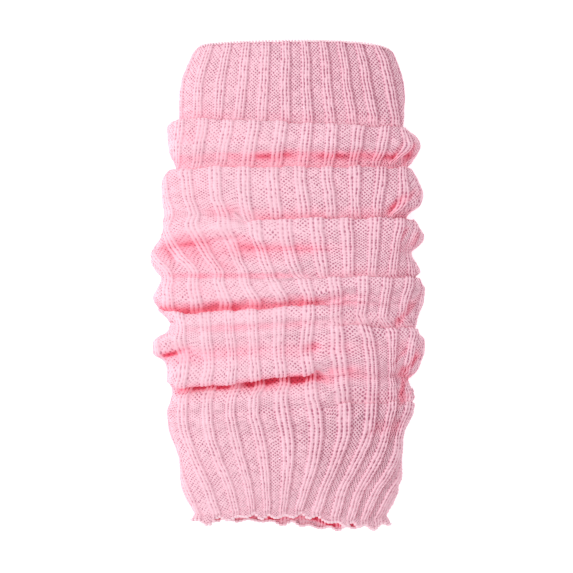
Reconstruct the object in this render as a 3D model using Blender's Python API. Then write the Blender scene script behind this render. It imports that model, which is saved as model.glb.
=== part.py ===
"""Rib-knit leg warmer, slouched into rolled folds and laid flat on its back.

The cloth is one knitted tube, open at both ends. X runs across the tube, Y
runs along it with the top cuff at +Y, and Z points up from the surface that
it lies on. Every ring of the tube is a flattened section: a straight floor
at Z = 0, a straight roof, and two rounded side edges. In the slouched length
each roll reaches over the roll above it, and the layers tucked under a roll
share its thickness.
"""
from collections import namedtuple
import math

import bmesh
import bpy

MM = 0.001

# ---------------------------------------------------------------------------
# Driving dimensions, in millimetres
# ---------------------------------------------------------------------------
RIBS = 22                 # knit ribs all round the tube
CLOTH = 3.0               # thickness of the rib knit
SEAM_GAP = 0.3            # clearance between the tube and its cast-on row
HEM_SEAM_GAP = 0.4        # the same at the hem, whose end faces are a little twisted
EDGE_RUN = 9.0            # how far a rounded side edge reaches in from the outline
CAST_ON_LENGTH = 2.2      # the cast-on row, along the tube
CAST_ON_BULGE = 0.35      # how far its bead stands out past the cloth
FRILL_FLARE = 1.2         # how far the hem's edge stands out past the cloth
FRILL_WAVE = 1.3          # swing of a frill wave, outwards
SCALLOP_DEPTH = 0.9       # swing of the hem's edge along the tube

# Points round a section: two to a rib on the tube, twice as many on the frill
EDGE_SEGMENTS = 8
FLAT_SEGMENTS = RIBS - EDGE_SEGMENTS
FRILL_FINENESS = 2

# A line across the tube is given at five stations, from its left edge to its right
Line = namedtuple("Line", "left left_mid middle right_mid right")

# A ring: its front line, its back line, its outline and the heights it spans
Ring = namedtuple("Ring", "front back left right floor roof")

# ---------------------------------------------------------------------------
# Cuffs: a row for each section. "arch" is how far the middle lies above the sides
# ---------------------------------------------------------------------------
CuffRow = namedtuple("CuffRow", "y arch left right roof")
TOP_CUFF = (
    CuffRow(y=130.2, arch=2.0, left=-50.6, right=56.8, roof=15.4),
    CuffRow(y=123.6, arch=1.6, left=-55.0, right=60.5, roof=15.9),
    CuffRow(y=113.6, arch=1.0, left=-59.4, right=63.8, roof=16.2),
    CuffRow(y=103.0, arch=0.5, left=-60.6, right=65.0, roof=16.4),
    CuffRow(y=96.0, arch=0.0, left=-60.6, right=65.0, roof=16.4),
)
BOTTOM_CUFF = (
    CuffRow(y=-80.0, arch=0.0, left=-66.0, right=65.2, roof=18.2),
    CuffRow(y=-91.0, arch=0.5, left=-61.6, right=63.8, roof=17.4),
    CuffRow(y=-104.0, arch=1.0, left=-60.4, right=63.4, roof=17.0),
    CuffRow(y=-111.5, arch=1.5, left=-59.8, right=62.0, roof=16.4),
    CuffRow(y=-117.6, arch=2.0, left=-56.0, right=59.2, roof=15.6),
)

# The tube's two ends, and the free edge of the frill
TOP_END = Ring(
    front=Line(131.4, 132.6, 133.2, 133.0, 131.8),
    back=Line(131.0, 131.6, 132.0, 131.8, 131.2),
    left=-47.8, right=51.8, floor=0.0, roof=15.0,
)
HEM_END = Ring(
    front=Line(-124.5, -121.0, -121.8, -125.0, -126.6),
    back=Line(-124.5, -125.4, -126.6, -128.6, -126.6),
    left=-52.0, right=54.2, floor=0.0, roof=15.0,
)
FRILL_EDGE = Ring(
    front=Line(-129.0, -125.0, -126.2, -129.6, -130.6),
    back=Line(-129.0, -129.8, -131.2, -133.4, -130.6),
    left=-52.6, right=55.6, floor=0.0, roof=15.0,
)

# ---------------------------------------------------------------------------
# Folds, top to bottom: a row for each. "line" is where the roll's lip crosses
# the cloth above, "overhang" how far it reaches over it, "valley" the height of
# the cloth just above the lip, "crest" the height of the roll, "pinch" the
# outline at the lip and "roll" the outline at the roll's fullest.
# ---------------------------------------------------------------------------
Fold = namedtuple(
    "Fold",
    "name line overhang valley crest pinch_left pinch_right roll_left roll_right",
)
FOLDS = (
    Fold("first_roll", Line(92.1, 91.0, 89.7, 88.0, 86.6), 5.0,
         16.4, 25.0, -60.6, 65.0, -67.1, 73.0),
    Fold("second_roll", Line(65.2, 65.7, 65.7, 65.7, 65.2), 5.0,
         17.0, 26.0, -63.4, 68.8, -71.0, 74.8),
    Fold("third_roll", Line(25.6, 32.2, 36.6, 37.1, 37.1), 4.5,
         17.8, 27.0, -69.6, 66.2, -76.4, 75.4),
    Fold("third_roll_crease", Line(13.6, 23.0, 23.8, 19.5, 17.9), 0.0,
         22.5, 25.5, -74.6, 68.8, -75.6, 73.2),
    Fold("fourth_roll", Line(3.6, 4.7, 5.2, 5.2, 4.1), 4.0,
         18.0, 27.0, -71.2, 72.6, -74.8, 75.8),
    Fold("fifth_roll", Line(-15.7, -13.5, -10.5, -16.5, -22.3), 4.5,
         17.0, 27.0, -65.0, 71.6, -75.4, 75.9),
    Fold("fifth_roll_crease", Line(-41.5, -37.6, -35.6, -41.0, -51.4), 0.0,
         22.0, 26.0, -67.2, 67.8, -67.8, 71.0),
    Fold("sixth_roll", Line(-57.8, -56.4, -52.6, -60.0, -64.1), 5.5,
         16.6, 24.0, -64.4, 68.4, -67.1, 71.0),
)

# How each ring of a fold is placed. "drop" is its distance below the fold line
# in millimetres (front and back), "along" adds a share of the way to the next
# line, "lift" goes from the valley's height to the crest's, and "spread" from
# the pinched outline to the full one. The lip's tuck also goes in by the overhang.
FoldStep = namedtuple("FoldStep", "name drop back_drop along lift spread tucked")
FOLD_STEPS = (
    FoldStep("tuck", drop=0.0, back_drop=0.5, along=0.0, lift=0.05, spread=-0.08, tucked=1.0),
    FoldStep("lip", drop=0.0, back_drop=1.2, along=0.0, lift=0.38, spread=0.20, tucked=0.0),
    FoldStep("brow", drop=1.4, back_drop=2.4, along=0.02, lift=0.80, spread=0.50, tucked=0.0),
    FoldStep("crest", drop=3.6, back_drop=4.0, along=0.10, lift=1.00, spread=0.78, tucked=0.0),
    FoldStep("belly", drop=2.0, back_drop=2.0, along=0.46, lift=0.94, spread=1.00, tucked=0.0),
)
SLOPE_ALONG = 0.80        # ring between the belly and the next valley
SLOPE_MIX = 0.55          # how far it has come down and in by there
VALLEY_RISE = 2.4         # the valley's ring lies this far above the next fold line

# ---------------------------------------------------------------------------
# The hollow through the tube: a row for each section. It runs straight between
# the cuffs, and the rolled layers at its sides are part of the tube's solid
# ---------------------------------------------------------------------------
PassageRow = namedtuple("PassageRow", "y left right roof")
PASSAGE = (
    PassageRow(y=122.0, left=-52.0, right=56.8, roof=12.6),
    PassageRow(y=108.0, left=-54.5, right=58.5, roof=12.8),
    PassageRow(y=36.0, left=-54.5, right=58.5, roof=12.8),
    PassageRow(y=-36.0, left=-54.5, right=58.5, roof=12.8),
    PassageRow(y=-106.0, left=-54.5, right=58.5, roof=12.8),
    PassageRow(y=-115.0, left=-53.5, right=56.6, roof=12.6),
)
PASSAGE_EDGE_RUN = 3.0

# Colours as linear RGB
PINK_KNIT = (0.80, 0.40, 0.50, 1.0)
PALE_PINK_EDGE = (0.86, 0.52, 0.60, 1.0)


# ---------------------------------------------------------------------------
# Small helpers
# ---------------------------------------------------------------------------
def mix(start, end, share):
    """Go a share of the way from start to end."""
    return start + (end - start) * share


def mix_lines(first, second, share):
    """Mix two lines station by station."""
    return Line(*(mix(a, b, share) for a, b in zip(first, second)))


def drop_line(line, distance):
    """Move a line down the tube."""
    return Line(*(y - distance for y in line))


def arched_line(y, arch):
    """A line whose middle lies at y and whose sides lie lower by the arch."""
    return Line(y - arch, y - arch * 0.25, y, y - arch * 0.25, y - arch)


def across(line, station):
    """Read a line smoothly at a station from -1, its left end, to 1, its right end."""
    place = (min(max(station, -1.0), 1.0) + 1.0) * 2.0
    index = min(int(place), 3)
    share = place - index
    before = line[max(index - 1, 0)]
    here = line[index]
    there = line[index + 1]
    after = line[min(index + 2, 4)]
    slope_here = (there - before) * 0.5
    slope_there = (after - here) * 0.5
    square = share * share
    cube = square * share
    return (
        here * (2.0 * cube - 3.0 * square + 1.0)
        + slope_here * (cube - 2.0 * square + share)
        + there * (3.0 * square - 2.0 * cube)
        + slope_there * (cube - square)
    )


# ---------------------------------------------------------------------------
# Rings and sections
# ---------------------------------------------------------------------------
def section(left, right, floor, roof, edge_run, fineness=1):
    """Flattened section as (x, z) points, anticlockwise from the right edge's middle."""
    middle = (floor + roof) * 0.5
    radius = (roof - floor) * 0.5
    flat_left = left + edge_run
    flat_right = right - edge_run
    quarter = EDGE_SEGMENTS * fineness // 2
    flat = FLAT_SEGMENTS * fineness
    points = []
    for step in range(quarter):
        angle = 0.5 * math.pi * step / quarter
        points.append((flat_right + edge_run * math.cos(angle), middle + radius * math.sin(angle)))
    for step in range(flat):
        points.append((mix(flat_right, flat_left, step / flat), roof))
    for step in range(2 * quarter):
        angle = 0.5 * math.pi * (1.0 + step / quarter)
        points.append((flat_left + edge_run * math.cos(angle), middle + radius * math.sin(angle)))
    for step in range(flat):
        points.append((mix(flat_left, flat_right, step / flat), floor))
    for step in range(quarter):
        angle = 0.5 * math.pi * (3.0 + step / quarter)
        points.append((flat_right + edge_run * math.cos(angle), middle + radius * math.sin(angle)))
    return points


def loop_of(ring, edge_run=EDGE_RUN, fineness=1, scallop=0.0, wave=0.0):
    """Points of a ring in space, front line on its roof and back line on its floor."""
    centre = (ring.left + ring.right) * 0.5
    half_width = (ring.right - ring.left) * 0.5
    flat_points = section(ring.left, ring.right, ring.floor, ring.roof, edge_run, fineness)
    loop = []
    for number, (x, z) in enumerate(flat_points):
        station = (x - centre) / half_width
        rise = (z - ring.floor) / (ring.roof - ring.floor)
        phase = 2.0 * math.pi * RIBS * number / len(flat_points)
        y = mix(across(ring.back, station), across(ring.front, station), rise)
        y += scallop * math.cos(phase)
        outwards = wave * rise * (0.5 + 0.5 * math.sin(phase))
        x += outwards * station ** 3
        z += outwards
        loop.append((x, y, z))
    return loop


def halved(loop):
    """The same loop with a point added halfway along each of its sides."""
    points = []
    for here, there in zip(loop, loop[1:] + loop[:1]):
        points.append(here)
        points.append(tuple(mix(a, b, 0.5) for a, b in zip(here, there)))
    return points


def cuff_ring(row):
    """Ring of a plain cuff."""
    line = arched_line(row.y, row.arch)
    return Ring(line, line, row.left, row.right, 0.0, row.roof)


def fold_rings(fold, following):
    """Rings of one fold, from its tuck down to the slope above the next fold."""
    rings = []
    for step in FOLD_STEPS:
        reached = mix_lines(fold.line, following.line, step.along)
        rings.append(Ring(
            front=drop_line(reached, step.drop + step.tucked * fold.overhang),
            back=drop_line(reached, step.back_drop),
            left=mix(fold.pinch_left, fold.roll_left, step.spread),
            right=mix(fold.pinch_right, fold.roll_right, step.spread),
            floor=0.0,
            roof=mix(fold.valley, fold.crest, step.lift),
        ))
    slope = mix_lines(fold.line, following.line, SLOPE_ALONG)
    rings.append(Ring(
        front=slope,
        back=slope,
        left=mix(fold.roll_left, following.pinch_left, SLOPE_MIX),
        right=mix(fold.roll_right, following.pinch_right, SLOPE_MIX),
        floor=0.0,
        roof=mix(fold.crest, following.valley, SLOPE_MIX),
    ))
    return rings


def valley_ring(fold):
    """Ring of the cloth that shows just above a fold's lip."""
    line = drop_line(fold.line, -VALLEY_RISE)
    return Ring(line, line, fold.pinch_left, fold.pinch_right, 0.0, fold.valley)


def outer_rings():
    """Rings of the tube's outer face, from the top end to the hem end."""
    rings = [TOP_END]
    rings += [cuff_ring(row) for row in TOP_CUFF]
    first_cuff_row = BOTTOM_CUFF[0]
    cuff_start = Fold(
        "bottom_cuff", arched_line(first_cuff_row.y, first_cuff_row.arch), 0.0,
        first_cuff_row.roof, first_cuff_row.roof, first_cuff_row.left, first_cuff_row.right,
        first_cuff_row.left, first_cuff_row.right,
    )
    for fold, following in zip(FOLDS, FOLDS[1:] + (cuff_start,)):
        rings.append(valley_ring(fold))
        rings += fold_rings(fold, following)
    rings += [cuff_ring(row) for row in BOTTOM_CUFF]
    rings.append(HEM_END)
    return rings


def inside(ring):
    """The ring one cloth thickness inside another, at an end of the tube."""
    return ring._replace(
        left=ring.left + CLOTH, right=ring.right - CLOTH,
        floor=ring.floor + CLOTH, roof=ring.roof - CLOTH,
    )


def passage_rings():
    """Rings of the hollow through the tube, from the top end to the hem end."""
    rings = [inside(TOP_END)]
    for row in PASSAGE:
        line = arched_line(row.y, 0.0)
        rings.append(Ring(line, line, row.left, row.right, CLOTH, row.roof))
    rings.append(inside(HEM_END))
    return rings


def grown(ring, outwards, down=0.0):
    """A ring swollen outwards and moved down the tube. Its floor stays where it is."""
    return ring._replace(
        front=drop_line(ring.front, down), back=drop_line(ring.back, down),
        left=ring.left - outwards, right=ring.right + outwards,
        roof=ring.roof + outwards,
    )


# ---------------------------------------------------------------------------
# Bodies
# ---------------------------------------------------------------------------
def plain_material(name, colour, roughness):
    """Matt, non-metallic yarn."""
    material = bpy.data.materials.new(name)
    material.use_nodes = True
    shader = material.node_tree.nodes["Principled BSDF"]
    shader.inputs["Base Color"].default_value = colour
    shader.inputs["Roughness"].default_value = roughness
    shader.inputs["Metallic"].default_value = 0.0
    return material


def body_from_loops(name, loops, material):
    """One closed body: each loop is joined to the next, and the last to the first."""
    mesh = bpy.data.meshes.new(name)
    shape = bmesh.new()
    rows = []
    for loop in loops:
        rows.append([shape.verts.new((x * MM, y * MM, z * MM)) for x, y, z in loop])
    count = len(rows[0])
    for row, next_row in zip(rows, rows[1:] + rows[:1]):
        for here in range(count):
            there = (here + 1) % count
            shape.faces.new((row[here], next_row[here], next_row[there], row[there]))
    bmesh.ops.recalc_face_normals(shape, faces=shape.faces)
    shape.to_mesh(mesh)
    shape.free()
    mesh.materials.append(material)
    mesh.shade_smooth()
    mesh.set_sharp_from_angle(angle=math.radians(55.0))
    body = bpy.data.objects.new(name, mesh)
    bpy.context.scene.collection.objects.link(body)
    return body


def ribbed_tube(material):
    """The knitted tube: outer face down to the hem, then back up its hollow."""
    loops = [loop_of(ring) for ring in outer_rings()]
    hollow = [loop_of(ring, PASSAGE_EDGE_RUN) for ring in passage_rings()]
    return body_from_loops("ribbed_tube", loops + hollow[::-1], material)


def top_cast_on(material):
    """The cast-on row: a rounded bead round the top end."""
    seam = grown(TOP_END, 0.0, down=-SEAM_GAP)
    middle = grown(TOP_END, CAST_ON_BULGE, down=-SEAM_GAP - 0.5 * CAST_ON_LENGTH)
    rim = grown(TOP_END, -0.7, down=-SEAM_GAP - CAST_ON_LENGTH)
    rim_inside = inside(TOP_END)._replace(front=rim.front, back=rim.back)
    loops = [loop_of(ring) for ring in (seam, middle, rim)]
    loops.append(loop_of(grown(rim_inside, 0.7), PASSAGE_EDGE_RUN))
    loops.append(loop_of(inside(seam), PASSAGE_EDGE_RUN))
    return body_from_loops("top_cast_on", loops, material)


def hem_frill(material):
    """The bound-off edge: a flared wall with a scallop and a wave to every rib."""
    seam = grown(HEM_END, 0.0, down=HEM_SEAM_GAP)
    shoulder = FRILL_EDGE._replace(
        front=mix_lines(seam.front, FRILL_EDGE.front, 0.5),
        back=mix_lines(seam.back, FRILL_EDGE.back, 0.5),
    )
    loops = [
        halved(loop_of(seam)),
        loop_of(grown(shoulder, 0.6 * FRILL_FLARE), fineness=FRILL_FINENESS, wave=0.5 * FRILL_WAVE),
        loop_of(grown(FRILL_EDGE, FRILL_FLARE), fineness=FRILL_FINENESS,
                scallop=SCALLOP_DEPTH, wave=FRILL_WAVE),
        loop_of(inside(FRILL_EDGE), PASSAGE_EDGE_RUN, FRILL_FINENESS,
                scallop=SCALLOP_DEPTH, wave=FRILL_WAVE),
        halved(loop_of(inside(seam), PASSAGE_EDGE_RUN)),
    ]
    return body_from_loops("hem_frill", loops, material)


def centre_on_origin(bodies):
    """Put the middle of the whole outline over the origin. Heights stay as they are."""
    corners = [vertex.co for body in bodies for vertex in body.data.vertices]
    shift_x = -0.5 * (min(c.x for c in corners) + max(c.x for c in corners))
    shift_y = -0.5 * (min(c.y for c in corners) + max(c.y for c in corners))
    for body in bodies:
        for vertex in body.data.vertices:
            vertex.co.x += shift_x
            vertex.co.y += shift_y


def main():
    """Build the leg warmer in an empty scene."""
    for old in list(bpy.data.objects):
        bpy.data.objects.remove(old, do_unlink=True)
    knit = plain_material("pink_rib_knit", PINK_KNIT, 0.9)
    edge = plain_material("pale_pink_edge", PALE_PINK_EDGE, 0.9)
    centre_on_origin([ribbed_tube(knit), top_cast_on(edge), hem_frill(edge)])


main()
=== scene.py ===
"""Looks of the slouched rib-knit leg warmer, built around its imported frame.

The tube is one knitted cloth that runs from the cast-on edge at +Y down to the
frilled hem at -Y. Its form is a stack of flattened rings that follow the folds.
The knitting is raised from that form by a Geometry Nodes tree, which counts
wales round the tube and courses along it. All tables are in millimetres.
"""

from collections import namedtuple
import math

import bpy
from mathutils import Matrix, Vector
import numpy as np


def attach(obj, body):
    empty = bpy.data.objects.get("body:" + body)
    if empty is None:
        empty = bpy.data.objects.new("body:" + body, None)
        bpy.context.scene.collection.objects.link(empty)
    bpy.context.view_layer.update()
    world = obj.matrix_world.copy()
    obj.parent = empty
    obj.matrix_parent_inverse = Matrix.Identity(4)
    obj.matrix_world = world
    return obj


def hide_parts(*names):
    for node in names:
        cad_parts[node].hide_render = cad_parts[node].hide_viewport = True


MM = 0.001

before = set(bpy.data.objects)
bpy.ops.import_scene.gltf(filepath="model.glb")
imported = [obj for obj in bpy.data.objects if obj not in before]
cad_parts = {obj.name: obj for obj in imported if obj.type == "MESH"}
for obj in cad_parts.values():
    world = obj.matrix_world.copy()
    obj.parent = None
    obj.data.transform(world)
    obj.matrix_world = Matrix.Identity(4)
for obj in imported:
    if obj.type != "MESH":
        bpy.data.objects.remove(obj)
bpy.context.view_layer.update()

# ---- Gauge of the knitting
RIBS = 22  # ribs all round the tube
WALES_PER_RIB = 6
PURL_WALES = 3  # of them are purl wales
WALES = RIBS * WALES_PER_RIB
COURSE = 1.94  # height of a course
KNIT_SHARE = 0.48  # share of a rib's width that its knit wales take
DRAWN_SHARE = 0.13  # and this much more where the bottom cuff is drawn in, at its right
DRAWN_FROM, DRAWN_RUN = -58.0, 26.0  # it draws in from this height, over this length
SAMPLES = 4  # points to a stitch, each way
COLUMNS = WALES * SAMPLES
INNER_COLUMNS = WALES  # the inside of the tube is plainer

FLOOR = 0.95  # the cloth's form lies this high, so that its stitches touch down
EDGE_RUN = 13.0  # how far a rounded side edge reaches in from the outline
OUTLINE_INSET = 0.7  # room for the stitches at the sides

# ---- Outline seen from above: y, left and right at each turn of the sides
OUTLINE = (
    (134.0, -47.0, 51.2), (129.4, -50.6, 57.2), (122.8, -54.9, 60.9),
    (112.9, -59.0, 64.1), (103.0, -60.3, 65.2), (93.5, -60.4, 65.2),
    (89.8, -64.6, 65.2), (86.5, -66.9, 66.4), (80.0, -66.6, 72.6),
    (76.6, -66.3, 73.6), (70.0, -65.2, 70.6), (65.4, -63.0, 68.6),
    (60.1, -68.4, 70.8), (53.5, -70.8, 74.4), (50.2, -70.4, 75.2),
    (43.6, -69.5, 72.9), (37.6, -69.1, 66.3), (33.7, -69.5, 71.6),
    (27.1, -70.0, 75.6), (23.8, -72.6, 74.5), (17.4, -76.0, 69.0),
    (13.0, -76.0, 71.0), (8.4, -73.6, 73.3), (3.0, -70.8, 73.5),
    (-3.5, -73.4, 76.2), (-9.2, -74.7, 75.6), (-13.5, -72.4, 73.6),
    (-19.1, -64.8, 71.9), (-25.0, -66.6, 72.8), (-32.3, -75.0, 76.0),
    (-37.0, -74.8, 75.8), (-42.2, -68.5, 74.0), (-47.0, -66.9, 71.6),
    (-53.5, -67.0, 67.8), (-57.6, -64.4, 69.5), (-62.0, -64.6, 71.2),
    (-69.5, -66.9, 70.4), (-77.5, -66.4, 65.6), (-85.1, -64.2, 65.2),
    (-92.0, -61.3, 64.2), (-104.9, -60.0, 63.6), (-113.0, -59.2, 62.0),
    (-119.0, -55.4, 59.2), (-125.0, -51.4, 54.4),
)

# ---- Folds, top to bottom. "line" holds (x, y, strength) across the front, where a
# strength of 0 lets the cloth run on smooth. "valley" is the height of the bed
# above the fold, "roll" the height of the roll below it, and "reach" stretches
# the slope that comes down to the bed. The last column sets how much painted
# shade deepens the colour in the fold.
Fold = namedtuple("Fold", "name kind line valley roll reach tint")
FOLDS = (
    Fold("first_roll", "lip",
         ((-67, 91.4, 1.0), (-26, 90.3, 1.0), (7, 88.7, 1.0), (45, 87.0, 1.0), (67, 85.9, 1.0)),
         valley=16.2, roll=22.6, reach=1.0, tint=0.08),
    Fold("second_roll", "lip",
         ((-68, 63.4, 0.8), (-32, 64.5, 1.0), (7, 64.5, 1.0), (45, 64.5, 1.0), (70, 64.5, 0.9)),
         valley=17.6, roll=23.6, reach=0.9, tint=1.5),
    Fold("third_roll", "trough",
         ((-71, 26.5, 0.1), (-50, 29.6, 0.2), (-36, 32.2, 0.36), (-25, 34.4, 0.62), (-15, 35.4, 0.9),
          (-4, 36.0, 1.0), (23, 36.4, 1.0), (66, 36.4, 1.0), (73, 35.9, 1.0)),
         valley=20.4, roll=24.2, reach=0.8, tint=0.42),
    Fold("third_roll_crease", "soft",
         ((-76, 20.0, 0.4), (-62, 21.6, 0.85), (-34, 22.4, 1.0), (-20, 19.8, 1.0), (-9, 18.4, 0.9),
          (7, 18.6, 0.6), (29, 18.3, 0.2), (51, 17.2, 0.05), (62, 17.2, 0.3), (70, 17.2, 0.6)),
         valley=20.0, roll=24.6, reach=1.0, tint=1.0),
    Fold("fourth_roll", "trough",
         ((-72, 3.4, 0.5), (-60, 3.4, 0.32), (-20, 3.6, 0.28), (-2, 4.0, 0.42), (12, 4.3, 0.7),
          (26, 4.5, 0.88), (75, 4.5, 0.86)),
         valley=21.4, roll=25.0, reach=0.8, tint=0.2),
    Fold("fifth_roll", "trough",
         ((-75, -11.5, 0.9), (-67, -14.2, 1.0), (-59, -15.4, 1.0), (-40, -14.7, 1.0), (-20, -13.3, 1.0),
          (0, -12.0, 1.0), (14, -10.9, 0.95), (24, -9.9, 0.72), (34, -9.2, 0.48), (46, -9.0, 0.25),
          (60, -9.4, 0.1), (76, -10.0, 0.0)),
         valley=17.8, roll=24.4, reach=0.72, tint=1.45),
    Fold("fifth_roll_step", "lip",
         ((-76, -26.0, 0.0), (-60, -25.6, 0.08), (-30, -24.4, 0.12), (7, -22.6, 0.15), (19, -21.4, 0.4),
          (30, -21.6, 0.85), (40, -22.6, 1.0), (62, -23.5, 1.0), (73, -23.5, 0.9)),
         valley=21.2, roll=24.8, reach=0.8, tint=0.08),
    Fold("fifth_roll_crease", "soft",
         ((-76, -40.4, 1.0), (-67, -39.8, 1.0), (-58, -38.0, 0.8), (-48, -37.4, 0.45), (-36, -37.0, 0.15),
          (-20, -36.4, 0.06), (10, -36.0, 0.06), (29, -38.4, 0.0), (51, -39.6, 0.0), (76, -40.6, 0.0)),
         valley=18.4, roll=25.4, reach=1.0, tint=0.5),
    Fold("sixth_roll", "overhang",
         ((-68, -55.5, 0.8), (-63, -55.6, 0.86), (-40, -54.1, 0.95), (-24, -52.2, 1.0), (-10, -50.3, 1.0),
          (6, -48.9, 0.96), (14, -48.4, 0.80), (22, -48.3, 0.55), (32, -48.7, 0.30), (51, -50.6, 0.12),
          (67, -54.5, 0.6)),
         valley=16.4, roll=21.0, reach=1.0, tint=2.8),
    Fold("sixth_roll_step", "lip",
         ((-70, -67.5, 0.0), (-20, -66.4, 0.0), (10, -65.3, 0.0), (22, -64.8, 0.5), (34, -65.0, 1.0),
          (62, -64.4, 1.0), (71, -63.6, 0.8)),
         valley=18.2, roll=20.6, reach=0.8, tint=0.12),
)

# Rings of a fold: "at" is their place above the fold line in mm, "lift" goes from
# the valley's height to the roll's, the third column says how much painted shade
# the cloth takes by how deep in the fold it lies, and "tuck" is 1 for the ring that
# nothing shows of. A fold that dies out turns into a soft trough, whose rings lie at
# the places in DIED_OUT.
Step = namedtuple("Step", "at lift hollow tuck")
STEPS = {
    "lip": (
        Step(10.8, 0.92, 0.08, 0.0), Step(7.0, 0.42, 0.90, 0.0), Step(2.6, 0.00, 0.16, 0.1),
        Step(-3.0, 0.02, 0.50, 1.0), Step(-0.2, 0.40, 0.20, 0.3), Step(0.3, 0.66, 0.02, 0.0),
        Step(-1.6, 0.90, 0.00, 0.0), Step(-5.5, 1.00, 0.00, 0.0),
    ),
    "trough": (
        Step(9.4, 0.95, 0.08, 0.0), Step(5.4, 0.55, 0.76, 0.0), Step(1.3, 0.02, 0.92, 0.1),
        Step(-3.5, 0.02, 0.92, 1.0), Step(-0.2, 0.40, 0.30, 0.3), Step(0.3, 0.66, 0.03, 0.0),
        Step(-1.6, 0.90, 0.00, 0.0), Step(-5.5, 1.00, 0.00, 0.0),
    ),
    "overhang": (
        Step(6.0, 0.97, 0.00, 0.0), Step(1.6, 0.86, 0.05, 0.0), Step(-1.0, 0.50, 0.45, 0.1),
        Step(4.0, 0.10, 1.00, 1.0), Step(0.8, 0.00, 1.00, 0.4), Step(-2.2, 0.06, 0.62, 0.0),
        Step(-4.4, 0.42, -0.08, 0.0), Step(-9.6, 0.95, 0.00, 0.0),
    ),
    "soft": (
        Step(8.0, 0.90, 0.05, 0.0), Step(4.6, 0.50, 0.45, 0.0), Step(1.8, 0.10, 0.80, 0.0),
        Step(0.4, 0.00, 0.90, 0.0), Step(-0.9, 0.02, 0.80, 0.0), Step(-2.4, 0.16, 0.60, 0.0),
        Step(-5.0, 0.60, 0.35, 0.0), Step(-8.0, 1.00, 0.05, 0.0),
    ),
}
DIED_OUT = (
    Step(8.0, 0.97, 0.00, 0.0), Step(5.4, 0.62, 0.15, 0.0), Step(2.8, 0.18, 0.50, 0.0),
    Step(0.8, 0.00, 0.70, 0.0), Step(-0.8, 0.02, 0.60, 0.0), Step(-2.4, 0.20, 0.30, 0.0),
    Step(-4.6, 0.58, 0.10, 0.0), Step(-7.6, 0.95, 0.00, 0.0),
)
TIE_POWER = 4.0  # a fold that has half died out hardly holds its rings
TUCK_STEP = 3  # index of the hidden ring in every kind of fold
FOLDS_FROM, FOLDS_RUN = 0.30, 0.65  # strength where the cloth starts to fold, and on to a full fold
FOLD_ROOM = 22.0  # a fold with less room than this to its neighbour is squeezed
SOFT_ROOM = 17.0  # the same where it has died out
LEAST_ROOM = 0.35  # but never to less than this share
BELLY_ROOM = 18.0  # two folds with more than this between them get a belly ring there
BELLY_CROWN = 1.5
RIB_SHIFT = 9.0  # across a fold that has died out, ribs shift over this length each way
BACK_FOLD_DEPTH = 2.4  # how far the underside's folds lift off the surface
BACK_FOLD_RUN = 2.6  # half their width
FOLD_WAVER = ((0.12, 12.5), (0.22, 21.0), (0.30, 37.0))  # swing and length of a fold line's waver
WAVER_TURN = 2.1  # which starts elsewhere in every fold

# ---- Cuffs
CuffRow = namedtuple("CuffRow", "y arch roof")
TOP_CUFF = (
    CuffRow(129.6, 2.0, 15.0), CuffRow(122.9, 1.6, 15.4), CuffRow(112.9, 1.0, 15.8),
    CuffRow(104.0, 0.3, 16.0),
)
BOTTOM_CUFF = (
    CuffRow(-81.0, 0.0, 18.6), CuffRow(-92.0, 0.5, 17.2), CuffRow(-104.6, 1.0, 16.4),
    CuffRow(-112.0, 1.2, 15.8),
)
CUFF_HALF_WIDTH = 62.0
CROWN = 3.0  # how far the front rounds down from its middle to its sides
TOP_LINE = ((-52, 130.6), (-46, 131.9), (-26, 133.2), (2, 133.9), (28, 133.6), (42, 132.7), (50, 131.4),
            (57, 129.3))
HEM_LINE = ((-53, -125.0), (-45, -127.2), (-37, -125.8), (-20, -123.4), (-5, -124.0), (7, -123.4),
            (20, -125.8), (30, -127.8), (44, -129.0), (54, -127.0))
END_ROOF = 14.2
END_HALF_WIDTH = 50.0
END_STRAIGHT = 0.8  # how far the back of an end is straightened
EDGE_POWER = 0.9  # roundness of the side edges
RIB_MARGIN = 1.0  # ribs of the upper side stay this far from its edges

# ---- The frilled hem and the loops of the two edges. The hem's edge has a scallop to
# each rib, and its front and back lie at their own heights along the tube
FRILL_FRONT = ((-56, -127.2), (-50, -129.8), (-45, -130.6), (-38, -128.6), (-31, -128.0), (-20, -126.2),
               (-9, -127.0), (6, -126.2), (15, -126.8), (19, -128.6), (28, -130.6), (36, -131.4),
               (43, -132.2), (47, -133.8), (51, -132.6), (57, -128.6))
FRILL_BACK = ((-56, -127.2), (-45, -129.4), (-30, -129.8), (-16, -130.2), (-7, -131.4), (5, -131.8),
              (12, -133.2), (22, -134.4), (32, -134.4), (38, -133.6), (46, -131.8), (57, -128.6))
FRILL_THICK = 1.6
FRILL_FLARE = 1.0  # how far the edge stands out past the cloth, at its front
FRILL_SIDE_FLARE = 2.6  # and at its two sides
FRILL_WAVE = 0.9  # swing of a wave outwards
SCALLOP_DEPTH = 0.9  # swing of the edge along the tube
FRILL_ROWS = 11
FRILL_COURSES = 3.0  # courses knitted in the frill
FRILL_SHADE_REACH = 4.2  # painted shade reaches this far past the front's edge, inside the back
FRILL_SHADE_RUN = 1.6
FRILL_INSIDE_SHADE = 2.0  # how deep the painted shade is inside the frill
FRILL_RELIEF = 0.85  # how deep the frill's stitches are
FRILL_SHADE = 1.1  # and how much painted shade the gaps between them take
FRILL_TUCK = 1.2  # the frill starts this far inside the end of the cloth's wall
FRILL_INSET = 0.15  # and this far behind its face
FRILL_MIDDLE = 1.2  # x of the middle of the hem
FRILL_SIDE_FROM, FRILL_SIDE_RUN = 42.0, 9.0  # its sides start this far from there
FRILL_TIP = 0.45  # the rounded edge reaches this far past the frill's two faces
EDGE_TAPER = 0.8  # which come together to this share there
EDGE_LOOP_REACH = 0.35  # the bound-off loops stand this far past the frill's edge
HEM_LOOP_SIZE = (1.0, 1.0, 2.2)  # and are spread to this along it
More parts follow.
